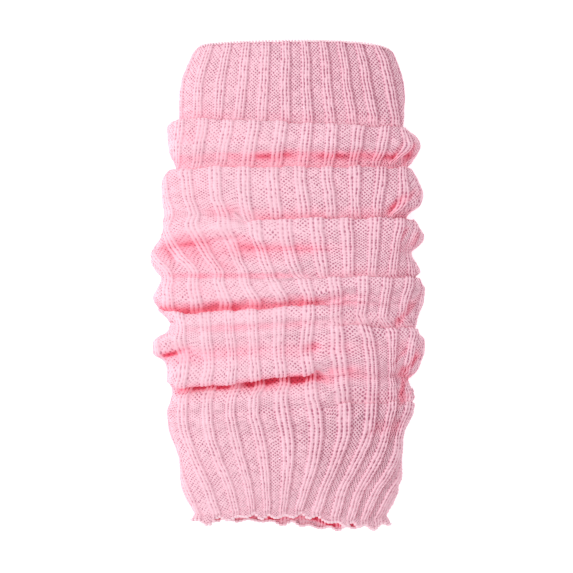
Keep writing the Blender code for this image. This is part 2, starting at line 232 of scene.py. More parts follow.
CAST_ON_DEPTH = 0.85  # the cast-on loops' middle lies this far inside the outer face
CAST_ON_SIZE = (1.0, 1.0, 1.5)  # and they are spread to this along the edge
LEAST_HEIGHT = 0.05  # edges stay this far above the surface

# ---- Ribs: where the right-hand edge of every other rib lies across the front, and
# how far round from the last of them the next one lies. A row starts with its y
RIB_NUMBERS = (-4, -2, 0, 2, 4)
BACK_RIB = 11  # the rib at the middle of the underside
RIB_ROWS = {
    "top_cuff": (
        (132.7, -40.5, -20.1, 1.4, 21.7, 41.5, 11.0),
        (122.8, -43.2, -21.2, 1.9, 23.4, 44.2, 12.0),
        (112.9, -46.0, -21.8, 1.4, 23.9, 45.9, 13.0),
        (91.4, -47.1, -24.0, 1.9, 26.7, 50.3, 12.5),
    ),
    "first_roll": (
        (86.5, -56.4, -29.5, 0.2, 27.8, 56.4, 10.5),
        (76.6, -58.1, -31.7, -1.4, 27.2, 55.3, 14.5),
        (66.7, -58.6, -33.3, -2.5, 25.6, 51.0, 8.5),
    ),
    "second_roll": (
        (59.0, -66.0, -36.1, -4.7, 25.0, 54.6, 11.5),
        (46.9, -64.1, -35.5, -3.6, 26.7, 52.5, 14.5),
        (38.6, -59.2, -32.8, -2.5, 27.2, 51.6, 7.5),
    ),
    "third_roll": (
        (31.5, -65.0, -30.6, 2.5, 36.0, 64.5, 10.5),
        (23.8, -60.8, -27.3, 3.6, 36.6, 62.0, 8.5),
        (7.3, -47.6, -21.8, 8.0, 36.6, 60.2, 11.0),
    ),
    "fourth_roll": (
        (0.7, -48.7, -18.5, 13.5, 44.6, 69.5, 12.0),
        (-9.2, -46.0, -14.1, 15.7, 44.8, 67.5, 12.0),
    ),
    "fifth_roll": (
        (-17.5, -42.1, -16.2, 15.1, 43.2, 65.5, 12.0),
        (-26.0, -41.4, -15.7, 14.4, 47.0, 71.5, 12.0),
        (-35.6, -40.2, -15.4, 13.5, 48.7, 70.0, 12.0),
        (-44.0, -39.6, -14.6, 14.6, 49.4, 68.0, 12.0),
        (-52.1, -41.2, -14.1, 16.2, 49.8, 65.5, 12.0),
    ),
    "bottom_cuff": (
        (-55.0, -38.0, -12.0, 16.2, 49.8, 70.0, 13.0),
        (-60.4, -40.6, -14.9, 17.0, 49.8, 70.0, 13.0),
        (-68.6, -41.0, -15.4, 19.0, 49.4, 69.4, 13.0),
        (-81.8, -39.4, -12.4, 20.0, 47.6, 66.4, 12.0),
        (-95.0, -35.4, -10.2, 17.9, 42.1, 62.0, 10.0),
        (-108.2, -30.2, -9.4, 13.9, 35.3, 55.4, 9.0),
        (-121.4, -26.2, -9.1, 8.5, 28.9, 44.5, 8.0),
    ),
}
BAND_OF_FOLD = {
    "first_roll": ("top_cuff", "first_roll"), "second_roll": ("first_roll", "second_roll"),
    "third_roll": ("second_roll", "third_roll"), "third_roll_crease": ("third_roll", "third_roll"),
    "fourth_roll": ("third_roll", "fourth_roll"), "fifth_roll": ("fourth_roll", "fifth_roll"),
    "fifth_roll_step": ("fifth_roll", "fifth_roll"), "fifth_roll_crease": ("fifth_roll", "fifth_roll"),
    "sixth_roll": ("fifth_roll", "bottom_cuff"), "sixth_roll_step": ("bottom_cuff", "bottom_cuff"),
}

# ---- Creases and swellings inside the rolls: centre, direction in degrees from +X,
# half length, half width, depth (below 0 for a trough), how much painted shade it
# puts in the colour, and how much it stretches the stitches smooth (below 0 takes
# some of that away again from the rows before it)
CREASES = (
    (13.0, -34.0, 14, 5.0, 2.2, -2.4, 0.8, 0.1),  # dimple in the middle of the fifth roll
    (17.0, -40.8, 10, 7.0, 3.0, 1.6, 0.0, 0.3),  # and the swelling below it
    (67.2, 72.0, 58, 7.0, 1.8, -3.2, 1.9, 0.0),  # creases that cut into the right-hand side
    (59.5, 44.4, 46, 7.0, 1.8, -2.8, 1.3, 0.0),
    (69.6, 25.2, 60, 4.5, 1.6, -2.4, 1.5, 0.0),
    (64.4, -15.0, 52, 8.0, 1.8, -3.0, 1.7, 0.0),
    (67.6, -43.0, 46, 7.5, 1.8, -3.2, 1.9, 0.0),
    (60.0, -36.0, 50, 9.0, 2.4, -1.0, 0.3, 0.0),
    (47.0, -79.0, 40, 6.0, 2.0, -1.6, 0.3, 0.0),
    (58.0, -81.0, 55, 6.0, 2.0, -1.6, 0.3, 0.0),
    (38.0, -72.0, 35, 6.0, 2.6, 1.2, 0.0, 0.0),
    (-62.0, 14.0, -70, 6.0, 2.2, -1.2, 0.3, 0.0),
    (-20.0, -68.5, 2, 38.0, 3.6, -1.0, 0.0, 0.0),
    (-44.0, -97.0, 8, 18.0, 4.0, -0.8, 0.0, 0.0),
    (-30.0, -35.0, 0, 24.0, 3.4, -0.5, 0.1, 0.1),
    (24.0, -47.4, 2, 11.0, 2.1, -0.9, 0.9, 0.3),  # the sixth fold's crease fades out here
    (17.5, -47.6, 2, 5.0, 2.4, 0.0, -2.0, 0.0),
    (18.5, -10.0, 3, 6.0, 2.0, 0.0, -0.4, 0.0),
    (61.0, 74.5, 56, 6.5, 1.1, -1.4, 0.6, 0.0),  # grooves beside the creases at the right
    (72.0, 73.5, 62, 5.0, 1.0, -1.4, 0.6, 0.0),
    (66.4, 47.8, 50, 7.0, 1.1, -1.5, 0.7, 0.0),
    (72.4, 50.4, 60, 4.5, 1.0, -1.3, 0.6, 0.0),
    (63.6, 28.0, 58, 5.0, 1.1, -1.2, 0.5, 0.0),
    (70.6, -8.6, 56, 6.0, 1.1, -1.4, 0.6, 0.0),
    (61.4, -38.8, 48, 7.5, 1.1, -1.5, 0.7, 0.0),
    (71.4, -35.6, 54, 6.0, 1.0, -1.4, 0.6, 0.0),
    (65.0, -62.0, 50, 7.0, 1.2, -1.4, 0.6, 0.0),
    (-46.0, 71.5, 1, 24.0, 5.5, 0.4, -0.75, 0.0),  # the second fold is shallow at the left
    (-8.0, -54.2, 7, 24.0, 2.8, -0.3, 1.6, 0.0),  # painted shade where the sixth fold gapes in the middle
    (-8.0, -36.0, 2, 58.0, 3.8, -1.2, 0.3, -1.3),  # the fifth roll's body dips below its top
    (63.2, -56.5, 82, 7.0, 1.3, -2.2, 1.3, 0.0),  # and folds over at the right
    (-33.0, 40.0, 0, 14.0, 3.0, -0.4, 0.5, 0.0),  # painted shade at the end of the third fold,
    (-46.0, 79.5, 0, 26.0, 4.0, 0.0, 0.3, 0.0),  # at the left of the first roll
    (-66.0, 10.0, 90, 80.0, 7.0, 0.0, 0.2, 0.0),  # and along the left side
    (57.0, -77.0, 20, 9.0, 3.6, -2.0, 0.5, -0.9),  # the ribs turn in sharply at the right
    (-40.0, 20.5, -2, 34.0, 3.6, 0.0, 0.0, -0.5),  # no smooth stitches by the third roll's crease
    (-58.0, -3.0, 0, 26.0, 5.0, 0.0, 0.3, -0.2),  # fewer at the fourth roll's left, with painted shade
    (38.0, 5.5, 0, 24.0, 3.6, 0.6, 0.0, 0.5),  # stretched smooth below the shallow folds
    (30.0, 38.5, 0, 28.0, 3.0, 0.4, 0.0, 0.45),
    (42.0, -19.5, 0, 22.0, 3.8, 0.6, 0.0, 0.6),
    (40.0, 88.5, -3, 16.0, 3.0, 0.0, 0.0, 0.5),
    (14.0, -60.0, 0, 24.0, 4.2, 0.3, 0.0, 0.4),
    (7.0, 31.0, 0, 32.0, 4.6, 0.0, 0.0, 0.35),  # smooth tops of the third and fourth rolls
    (-2.0, -1.6, 3, 42.0, 3.4, 0.2, 0.0, 0.4),
    (-48.0, 13.5, -14, 22.0, 4.6, -0.4, 0.6, 0.0),  # painted shade on the third roll's lower left,
    (-54.0, 72.0, 88, 62.0, 14.0, 0.0, 0.16, 0.0),  # and a little over the whole upper left
    (-63.5, -37.6, 14, 8.0, 1.3, -1.6, 1.9, 0.0),  # shadow under the fifth roll's bulge at the left
    (-68.0, -30.8, 8, 10.0, 3.6, 0.9, 0.0, 0.0),  # and the bulge
    (-42.0, 30.4, 9, 24.0, 3.2, 0.5, 0.0, 0.75),  # the third roll begins as a smooth band
    (-18.0, -17.0, 5, 44.0, 4.2, -0.2, 0.0, 0.5),  # smooth strip below the fifth fold
    (-20.0, -22.6, 3, 42.0, 1.8, -1.0, 0.42, 0.2),  # the fifth roll's body begins with a soft step
    (-20.0, -26.8, 3, 44.0, 2.6, 1.1, 0.0, 0.2),
    (-46.0, -24.5, -12, 12.0, 3.0, 0.5, 0.0, 0.2),
    (-28.0, 5.2, 0, 38.0, 1.3, -1.7, 0.7, 0.0),  # the fourth roll's edge at the left
    (-28.0, 1.6, 0, 38.0, 2.4, 0.7, 0.0, 0.3),  # and the swelling below it
    (-46.0, 23.4, 7, 21.0, 1.4, -1.1, 0.25, 0.0),  # the third roll's crease runs on both ways
    (1.0, 20.0, 0, 27.0, 1.6, -0.9, 0.45, -0.2),
)
# Slight waves of soft cloth: depth, length, direction and phase
SWELLS = ((0.35, 31.0, 0.7, 0.4), (0.30, 47.0, -0.4, 2.1), (0.25, 19.0, 1.1, 4.0))

# ---- The hollow through the tube
HOLLOW_FLOOR = 3.2
HOLLOW_ROOF = 12.2
HOLLOW_END_ROOF = 11.3  # the same at the two ends, where the front lies lower
HOLLOW_INSET = 9.0  # from the outline's narrowest stretch nearby
HOLLOW_NEARBY = 9.0  # which reaches this far both ways
HOLLOW_EDGE_RUNS = (10.0, 5.0)  # how far its rounded side edges reach in, at the ends and between them
HOLLOW_ROW = 8.0  # its rows lie this far apart
HOLLOW_RIB_MARGIN = 3.0  # its ribs stay this far from its sides
HOLLOW_CUFFS = (90.0, -60.0)  # it has the cuffs' ribs above and below these heights along the tube
END_WALL = 3.0  # the wall is this thick at the tube's two ends
END_REACH = 22.0  # and reaches its full inset this far from them
INSIDE_PAINTED_SHADE = 1.2  # how much painted shade the inside takes
INSIDE_RELIEF = 0.6  # its stitches are flatter, and the painted shade in the gaps between them paler
RIM_DEPTH = 1.5  # a rim goes this far straight in before it turns to the hollow


# ---- Curves through a few points
def mix(start, end, share):
    """Go a share of the way from start to end."""
    return start + (end - start) * share


def ramp(way, run):
    """Share of a run that is behind one after some way along it, from 0 to 1."""
    return np.clip(way / run, 0.0, 1.0)


def eased(share):
    """A share that sets off and arrives softly."""
    return share * share * (3.0 - 2.0 * share)


def added_up(steps):
    """Length before each step, and after the last one."""
    return np.concatenate([[0.0], np.cumsum(steps)])


def cubic_through(places, values, tangents, at):
    """Cubic with the given values and tangents at its places, read at each value of at."""
    index = np.clip(np.searchsorted(places, at, side="right") - 1, 0, len(places) - 2)
    shape = np.shape(at) + (1,) * (values.ndim - 1)
    step = np.reshape(places[index + 1] - places[index], shape)
    share = np.reshape(at - places[index], shape) / step
    square, cube = share ** 2, share ** 3
    return (
        values[index] * (2 * cube - 3 * square + 1) + values[index + 1] * (3 * square - 2 * cube)
        + step * (tangents[index] * (cube - 2 * square + share) + tangents[index + 1] * (cube - square))
    )


def smooth_curve(xs, ys, at):
    """Monotone cubic through the points (xs, ys) with rising xs, read at each value of at."""
    xs, ys = np.asarray(xs, float), np.asarray(ys, float)
    steps = np.diff(xs)
    slopes = np.diff(ys) / steps
    before, after = slopes[:-1], slopes[1:]
    weight_one = 2.0 * steps[1:] + steps[:-1]
    weight_two = steps[1:] + 2.0 * steps[:-1]
    same_way = before * after > 0.0
    safe_before = np.where(same_way, before, 1.0)
    safe_after = np.where(same_way, after, 1.0)
    mean = (weight_one + weight_two) / (weight_one / safe_before + weight_two / safe_after)
    tangents = np.concatenate([slopes[:1], np.where(same_way, mean, 0.0), slopes[-1:]])
    return cubic_through(xs, ys, tangents, np.clip(at, xs[0], xs[-1]))


def spline_through(loops, knots, at):
    """Catmull-Rom curve along axis 0 of an array of loops, read at the knot values in at."""
    steps = np.diff(knots).reshape((-1,) + (1,) * (loops.ndim - 1))
    slopes = np.diff(loops, axis=0) / steps
    inner = (slopes[:-1] * steps[1:] + slopes[1:] * steps[:-1]) / (steps[:-1] + steps[1:])
    return cubic_through(knots, loops, np.concatenate([slopes[:1], inner, slopes[-1:]]), at)


def read_table(table, at, column=1):
    """Read one column of a table whose first column falls or rises steadily."""
    rows = sorted(table)
    return smooth_curve([row[0] for row in rows], [row[column] for row in rows], at)


# ---- Rings. Everything across the tube is kept at fixed stations of x
STATIONS = np.linspace(-80.0, 80.0, 81)
Ring = namedtuple("Ring", "front back roof floor hollow tuck bands shift tie pinch")
NO_PINCH = (0.0, 0.0)
TUCK_PINCH = 2.0  # how far a tucked ring's two side edges draw in
TIED_WIDTH = 60.0  # the way from ring to ring is measured this far to each side


def level(value):
    """The same value at every station."""
    return np.full_like(STATIONS, value)


def outline_at(y, side):
    """Outline's x at a height along the tube; side is 1 for left and 2 for right."""
    inset = OUTLINE_INSET if side == 1 else -OUTLINE_INSET
    return read_table(OUTLINE, y, side) + inset


def ribs_in_band(band, y_of_x):
    """x of the numbered ribs on the line y_of_x, from their rows in a band, and the way to the next."""
    rows = RIB_ROWS[band]
    places = []
    for column in range(1, len(RIB_NUMBERS) + 1):
        x = rows[0][column]
        for _ in range(2):
            y = np.interp(x, STATIONS, y_of_x)
            x = float(read_table(rows, y, column))
        places.append(x)
    places.append(float(read_table(rows, y, len(RIB_NUMBERS) + 1)))
    return np.array(places)


def plain_ring(line, back, roof, band, tie=1.0):
    """Ring without a fold in it."""
    return Ring(line, back, level(roof), level(FLOOR), level(0.0), level(0.0), (band, band), 0.0,
                level(tie), NO_PINCH)


def cuff_ring(row, band):
    """Ring of a plain cuff, a little lower at its sides."""
    line = row.y - row.arch * (STATIONS / CUFF_HALF_WIDTH) ** 2
    return plain_ring(line, line, row.roof, band)


def end_ring(table, band):
    """Ring at one end of the tube, where the back runs straighter than the front."""
    line = read_table(table, STATIONS)
    lowest = line[np.abs(STATIONS) <= END_HALF_WIDTH].min()
    return plain_ring(line, np.minimum(line, mix(line, lowest, END_STRAIGHT)), END_ROOF, band)


def belly_ring(upper, lower, height, band):
    """Ring at the fullest part of a roll, halfway between two folds."""
    line = 0.5 * (upper + lower)
    return plain_ring(line, mix(line, line.mean(), 0.5), height + BELLY_CROWN, band, tie=0.0)


def fold_line(fold):
    """A fold's line and its strength at the stations."""
    phase = WAVER_TURN * fold.line[0][1]
    waver = sum(swing * np.sin(2.0 * math.pi * STATIONS / length + phase) for swing, length in FOLD_WAVER)
    return read_table(fold.line, STATIONS) + waver, read_table(fold.line, STATIONS, 2)


def folded_share(strength):
    """How far a fold of some strength is a real fold, with a layer tucked under."""
    return eased(ramp(strength - FOLDS_FROM, FOLDS_RUN))


def line_beyond(lines, place, way):
    """The next line above (-1) or below (1) that really folds, seen from one of them."""
    line, strength = lines[place + way]
    if strength is None:
        return line
    further = lines[place + 2 * way][0] if 0 <= place + 2 * way < len(lines) else line
    return mix(further, line, folded_share(strength))


def fold_rings(number, lines):
    """Rings of one fold."""
    fold = FOLDS[number]
    line, strength = lines[number + 1]
    folded = folded_share(strength)
    room_above = line_beyond(lines, number + 1, -1) - line
    room_below = line - line_beyond(lines, number + 1, 1)
    level_above = FOLDS[number - 1].roll if number else fold.valley
    back_line = mix(line, line.mean(), 0.5)
    back_depth = BACK_FOLD_DEPTH * (0.75 + 0.25 * np.sin(STATIONS * 0.09 + 1.7 * number))
    rings = []
    for index, (step, died_out) in enumerate(zip(STEPS[fold.kind], DIED_OUT)):
        is_above = index < TUCK_STEP
        room = room_above if step.at > 0 else room_below
        soft_room = room_above if died_out.at > 0 else room_below
        roll_height = level_above if is_above else fold.roll
        at = mix(died_out.at * np.clip(soft_room / SOFT_ROOM, LEAST_ROOM, 1.0),
                 step.at * (fold.reach if is_above else 1.0) * np.clip(room / FOLD_ROOM, LEAST_ROOM, 1.0),
                 folded)
        lift = mix(died_out.lift, step.lift, folded)
        roof = mix(roll_height, mix(fold.valley, roll_height, lift), strength)
        if index == TUCK_STEP:
            roof = mix(0.5 * (level_above + fold.roll), roof, strength)
        hard_shift = 0.0 if is_above else (0.5 if index == TUCK_STEP else 1.0)
        soft_shift = ramp(RIB_SHIFT - died_out.at, 2.0 * RIB_SHIFT)
        # Each ring carries painted shade: the fold's weight of it times the step's share, by strength
        rings.append(Ring(
            line + at, back_line + died_out.at, roof,
            FLOOR + back_depth * math.exp(-(died_out.at / BACK_FOLD_RUN) ** 2),
            fold.tint * mix(died_out.hollow, step.hollow, folded) * strength, step.tuck * folded,
            BAND_OF_FOLD[fold.name], mix(soft_shift, hard_shift, folded), folded,
            step.tuck * folded[[0, -1]],
        ))
    return rings


def all_rings():
    """Rings of the cloth from the cast-on edge to the hem, and the ring number of each tuck."""
    lines = [(level(TOP_CUFF[-1].y), None)]
    lines += [fold_line(fold) for fold in FOLDS]
    lines.append((level(BOTTOM_CUFF[0].y), None))
    rings = [end_ring(TOP_LINE, "top_cuff")]
    rings += [cuff_ring(row, "top_cuff") for row in TOP_CUFF]
    tucks = {}
    for number, fold in enumerate(FOLDS):
        tucks[fold.name] = len(rings) + TUCK_STEP
        rings += fold_rings(number, lines)
        upper, lower = lines[number + 1][0], lines[number + 2][0]
        if (upper - lower).mean() > BELLY_ROOM:
            rings.append(belly_ring(upper, lower, fold.roll, BAND_OF_FOLD[fold.name][1]))
    rings += [cuff_ring(row, "bottom_cuff") for row in BOTTOM_CUFF]
    rings.append(end_ring(HEM_LINE, "bottom_cuff"))
    return relaxed(rings), tucks


def evened(front, tie, length):
    """Spread lines in proportion to the cloth between them, each held at its place by its tie."""
    before = length[1:] / (length[1:] + length[:-1])
    free = 1.0 - tie[:, 1:-1]
    inner = np.arange(1, front.shape[1] - 1)
    system = np.tile(np.eye(front.shape[1]), (len(front), 1, 1))
    system[:, inner, inner - 1] = -free * before
    system[:, inner, inner + 1] = -free * (1.0 - before)
    return np.linalg.solve(system, (tie * front)[..., None])[..., 0]


def relaxed(rings):
    """Spread the rings evenly wherever no real fold holds them."""
    front, roof, tie = (np.stack(values, axis=1)
                        for values in zip(*((ring.front, ring.roof, ring.tie) for ring in rings)))
    length = np.hypot(np.diff(front), np.diff(roof))[np.abs(STATIONS) < TIED_WIDTH].mean(axis=0)
    even = evened(front, tie ** TIE_POWER, length)
    return [ring._replace(front=line) for ring, line in zip(rings, even.T)]


def ribs_of(ring):
    """x of the numbered ribs on a ring, which may lie between two bands."""
    above, below = (ribs_in_band(band, ring.front) for band in ring.bands)
    if ring.bands[0] == ring.bands[1]:
        return above
    shift = np.interp(below[:-1], STATIONS, ring.shift)
    return mix(above, below, np.append(shift, shift[-1]))


# ---- Sections and loops
EDGE_POINTS = 13  # points to a quarter turn of a section's side edge
UNDER_POINTS = 14  # and to half its underside
TOP_POINTS = 60


def section_path(left, right, edge_run):
    """Round a flattened section from the middle of its underside, leftwards: x and rise from 0 to 1."""
    centre = 0.5 * (left + right)
    quarter = np.linspace(0.0, 0.5 * math.pi, EDGE_POINTS)
    out = edge_run * np.sin(quarter) ** EDGE_POWER
    rise = 0.5 - 0.5 * np.cos(quarter) ** EDGE_POWER
    edge = np.concatenate([out, out[::-1][1:]])
    edge_rise = np.concatenate([rise, (1.0 - rise)[::-1][1:]])
    floor_left = np.linspace(centre, left + edge_run, UNDER_POINTS)[:-1]
    floor_right = np.linspace(right - edge_run, centre, UNDER_POINTS)[1:]
    top = np.linspace(left + edge_run, right - edge_run, TOP_POINTS)[1:-1]
    x = np.concatenate([floor_left, left + edge_run - edge, top, right - edge_run + edge, floor_right])
    up = np.concatenate([np.zeros(len(floor_left)), edge_rise, np.ones(len(top)), 1.0 - edge_rise,
                         np.zeros(len(floor_right))])
    return x, up


def wale_places(columns, y=0.0):
    """Place of each column in ribs from the middle of the underside; purl wales are the wider ones."""
    rib, wale = np.divmod(np.arange(columns) * (WALES / columns), WALES_PER_RIB)
    front_rib = rib - BACK_RIB
    at_right = ramp(front_rib + 2.0, 4.0) * ramp(7.0 - front_rib, 2.0)
    knit_share = KNIT_SHARE + DRAWN_SHARE * ramp(DRAWN_FROM - y, DRAWN_RUN) * at_right
    purl_part = np.minimum(wale, PURL_WALES) / PURL_WALES * (1.0 - knit_share)
    knit_part = np.maximum(wale - PURL_WALES, 0.0) / PURL_WALES * knit_share
    return rib + purl_part + knit_part - BACK_RIB


def rib_places(x, z, rise, ribs, margin):
    """Length along a section's path, and where along it the ribs on its upper side lie."""
    along = added_up(np.hypot(np.diff(x), np.diff(z)))
    upper = rise >= 0.5
    return along, np.interp(np.clip(ribs, x.min() + margin, x.max() - margin), x[upper], along[upper])


def loop_of(ring, columns):
    """A ring's points at evenly counted wales, with how much painted shade each one takes, and how tucked and
    turned up it is.
    """
    middle = 0.5 * (ring.front + ring.back)
    left, right = (outline_at(np.interp(x, STATIONS, middle), side) for side, x in ((1, -70.0), (2, 70.0)))
    x, rise = section_path(left + TUCK_PINCH * ring.pinch[0], right - TUCK_PINCH * ring.pinch[1], EDGE_RUN)
    front, back, roof, floor = (np.interp(x, STATIONS, values)
                                for values in (ring.front, ring.back, ring.roof, ring.floor))
    y = mix(back, front, eased(rise))
    z = mix(floor, roof - CROWN * (x / CUFF_HALF_WIDTH) ** 2, rise)
    ribs = ribs_of(ring)
    along, places = rib_places(x, z, rise, ribs[:-1], RIB_MARGIN)
    numbers = (-BACK_RIB, *RIB_NUMBERS, RIB_NUMBERS[-1] + 1, BACK_RIB)
    places = np.concatenate([[0.0], places, [places[-1] + ribs[-1], along[-1]]])
    at = smooth_curve(numbers, places, wale_places(columns, ring.front.mean()))
    x, y, z, up = (np.interp(at, along, values) for values in (x, y, z, rise))
    hollow, tuck = (np.interp(x, STATIONS, values) for values in (ring.hollow, ring.tuck))
    return np.stack([x, y, z, hollow * up, tuck * up, up], axis=1)


def turned(x, y, turn):
    """Coordinates along and across a direction."""
    return x * math.cos(turn) + y * math.sin(turn), y * math.cos(turn) - x * math.sin(turn)


def shaped(points):
    """Add the creases, with the painted shade they put in the colour, and the slight swelling of soft cloth
    to points on its upper side.
    """
    x, y = points[..., 0], points[..., 1]
    on_top = ramp(points[..., 5] - 0.5, 0.5)
    rise = np.zeros_like(x)
    for middle_x, middle_y, turn, length, width, depth, tint, smooth in CREASES:
        along, across = turned(x - middle_x, y - middle_y, math.radians(turn))
        fade = np.exp(-(along / length) ** 4 - (across / width) ** 2)
        rise += depth * fade
        fade *= on_top
        # a crease adds painted shade to the colour
        points[..., 3] += tint * fade
        if smooth < 0.0:
            points[..., 4] += smooth * fade
        else:
            points[..., 4] = np.maximum(points[..., 4], smooth * fade)
    for depth, length, turn, phase in SWELLS:
        rise += depth * np.sin(turned(x, y, turn)[0] * 2.0 * math.pi / length + phase)
    points[..., 2] += rise * on_top
    return points


# ---- The cloth: a grid of rows (quarter courses) and columns (quarter wales)
Cloth = namedtuple("Cloth", "points outward course hollow relief shade splits")
LEFT_RELIEF = 0.76  # the cloth is smoothest at its left side
RIGHT_RELIEF = 1.28  # and its ribs stand deepest at the right
TOP_RELIEF = 1.05
BOTTOM_RELIEF = 1.2
BOTTOM_RIGHT_RELIEF = 1.65  # the drawn-in ribs stand deepest
ROLLED_RELIEF = 0.88  # the rolls are smoother than the cuffs
STRETCHED_RELIEF = 0.75  # stitches lose this much where they are stretched smooth
TURNED_RELIEF = 0.35  # and this much where the right side turns under
LEFT_SHADE = 1.08  # painted shade in the gaps between stitches grows from left to right, away from the light
LEFT_ROLLED_SHADE = 1.04  # the same on the rolls
RIGHT_SHADE = 2.35
SHADE_BEND = 1.25  # how late they darken, on the cuffs
ROLLED_SHADE_BEND = 2.3  # and on the rolls
BOTTOM_SHADE = 1.0
TURNED_SHADE = 0.5  # more painted shade in the gaps, by this, where the right side turns under
CAST_ON_SHADE = 1.3  # the first course has painted shade in the gaps under its cast-on loops
CAST_ON_RUN = 0.7  # and these reach this many courses down
HEM_LIGHTER = 0.72  # painted shade in the gaps is lighter by up to this towards the hem
HEM_LIGHTER_FROM, HEM_LIGHTER_RUN = -72.0, 44.0
ROLLS_MIDDLE = 13.0
ROLLS_HALF_LENGTH = 76.0
ROLLS_BLEND = 3.0
MOST_PAINTED_SHADE = 2.8  # painted shade gets no deeper than this
KNOT_POWER = 0.6  # how the knots of the cloth's curve follow the way from ring to ring
FINE_STEPS = 13  # points between rings where lengths are measured


def outward_of(points):
    """Unit vectors that point out of a closed grid of rows and columns."""
    along = np.gradient(points, axis=0)
    around = np.roll(points, -1, axis=1) - np.roll(points, 1, axis=1)
    normal = np.cross(along, around)
    normal /= np.linalg.norm(normal, axis=2, keepdims=True) + 1e-12
    for _ in range(2):
        normal[1:-1] = (normal[:-2] + 2.0 * normal[1:-1] + normal[2:]) * 0.25
        normal = (np.roll(normal, 1, axis=1) + 2.0 * normal + np.roll(normal, -1, axis=1)) * 0.25
    return normal / (np.linalg.norm(normal, axis=2, keepdims=True) + 1e-12)


def front_steps(loops):
    """Mean way from each loop to the next over the front of the tube."""
    front = loops[0, :, 5] > 0.9
    return np.linalg.norm(np.diff(loops[:, front, :3], axis=0), axis=2).mean(axis=1)


def stitch_depths(points, course):
    """How deep the stitches stand, and how much painted shade the gaps between them take, at each point."""
    x, y, smooth, up = (points[..., channel] for channel in (0, 1, 4, 5))
    side = 0.5 + 0.5 * np.sin(0.5 * math.pi * np.clip(x / CUFF_HALF_WIDTH, -1.0, 1.0))
    rolled = 1.0 / (1.0 + np.exp((np.abs(y - ROLLS_MIDDLE) - ROLLS_HALF_LENGTH) / ROLLS_BLEND))
    under = ramp(0.95 - up, 0.5) * (x > 0.0)
    stretched = 1.0 - STRETCHED_RELIEF * np.minimum(smooth, 1.0)
    bottom = mix(BOTTOM_RELIEF, BOTTOM_RIGHT_RELIEF, side)
    relief = mix(LEFT_RELIEF, RIGHT_RELIEF, side) * (1.0 - TURNED_RELIEF * under) * stretched
    relief *= mix(np.where(y > 0.0, TOP_RELIEF, bottom), ROLLED_RELIEF, rolled)
    shade = mix(mix(LEFT_SHADE, LEFT_ROLLED_SHADE, rolled), RIGHT_SHADE,
                side ** mix(SHADE_BEND, ROLLED_SHADE_BEND, rolled))
    shade *= mix(np.where(y > 0.0, TOP_RELIEF, BOTTOM_SHADE), ROLLED_RELIEF, rolled) * stretched
    shade *= 1.0 + TURNED_SHADE * under
    shade *= 1.0 + CAST_ON_SHADE * np.exp(-(course / CAST_ON_RUN) ** 2)[:, None]
    shade *= 1.0 - HEM_LIGHTER * ramp(HEM_LIGHTER_FROM - y, HEM_LIGHTER_RUN) * np.sqrt(side)
    return relief, shade


def knitted_cloth():
    """The whole outer face, with a row for every quarter of a course."""
    rings, tucks = all_rings()
    loops = np.stack([loop_of(ring, COLUMNS) for ring in rings])
    knots = added_up(front_steps(loops) ** KNOT_POWER)
    fine = np.unique(np.concatenate([np.linspace(*ends, FINE_STEPS) for ends in zip(knots[:-1], knots[1:])]))
    length = added_up(front_steps(shaped(spline_through(loops, knots, fine))))
    courses = round(length[-1] / COURSE)
    course = np.arange(courses * SAMPLES + 1) / SAMPLES
    at = np.interp(course * length[-1] / courses, length, fine)
    points = shaped(spline_through(loops, knots, at))
    splits = {name: SAMPLES * round(int(np.argmin(np.abs(at - knots[number]))) / SAMPLES)
              for name, number in tucks.items()}
    relief, shade = stitch_depths(points, course)
    # painted shade from the folds and creases, capped
    hollow = np.clip(points[..., 3], 0.0, MOST_PAINTED_SHADE)
    return Cloth(points[..., :3], outward_of(points[..., :3]), course, hollow, relief, shade, splits)


def hollow_loops(cloth, first, last):
    """Loops of the tube's inside beside a stretch of rows, in the same order."""
    y_first, y_last = cloth.points[first, :, 1].mean(), cloth.points[last, :, 1].mean()
    count = max(3, round(abs(y_first - y_last) / HOLLOW_ROW) + 1)
    loops = []
    for share in np.linspace(0.0, 1.0, count):
        y = mix(y_first, y_last, share)
        from_end = min(abs(y - TOP_LINE[3][1]), abs(y - HEM_LINE[3][1]))
        deep = ramp(from_end, END_REACH)
        nearby = np.linspace(y - HOLLOW_NEARBY * deep, y + HOLLOW_NEARBY * deep, 7)
        inset = mix(END_WALL, HOLLOW_INSET, deep)
        line = level(y)
        if first == 0 and share == 0.0:
            line = read_table(TOP_LINE, STATIONS)
        elif last == len(cloth.course) - 1 and share == 1.0:
            line = read_table(HEM_LINE, STATIONS)
        x, rise = section_path(outline_at(nearby, 1).max() + inset, outline_at(nearby, 2).min() - inset,
                               mix(*HOLLOW_EDGE_RUNS, deep))
        z = mix(HOLLOW_FLOOR, mix(HOLLOW_END_ROOF, HOLLOW_ROOF, deep), rise)
        above, below = HOLLOW_CUFFS
        band = "top_cuff" if y > above else "second_roll" if y > below else "bottom_cuff"
        along, places = rib_places(x, z, rise, ribs_in_band(band, line)[:-1], HOLLOW_RIB_MARGIN)
        places = np.concatenate([[0.0], places, [along[-1]]])
        places = np.maximum.accumulate(places + np.arange(len(places)) * 1e-3)
        at = smooth_curve((-BACK_RIB, *RIB_NUMBERS, BACK_RIB), places, wale_places(INNER_COLUMNS))
        y_points = mix(y, np.interp(x, STATIONS, line), rise)
        loops.append(np.stack([np.interp(at, along, values) for values in (x, y_points, z)], axis=1))
    return np.stack(loops)


# ---- Meshes
OUTER_WALES = np.arange(COLUMNS) / SAMPLES - BACK_RIB * WALES_PER_RIB
INSIDE_WALE_SHIFT = 0.5 * WALES_PER_RIB  # a knit rib shows as a purl rib on the inside
PICKED = np.arange(WALES) * SAMPLES + SAMPLES // 2  # the column in the middle of each wale


def placed(name, data):
    """Object in the scene."""
    thing = bpy.data.objects.new(name, data)
    bpy.context.scene.collection.objects.link(thing)
    return thing


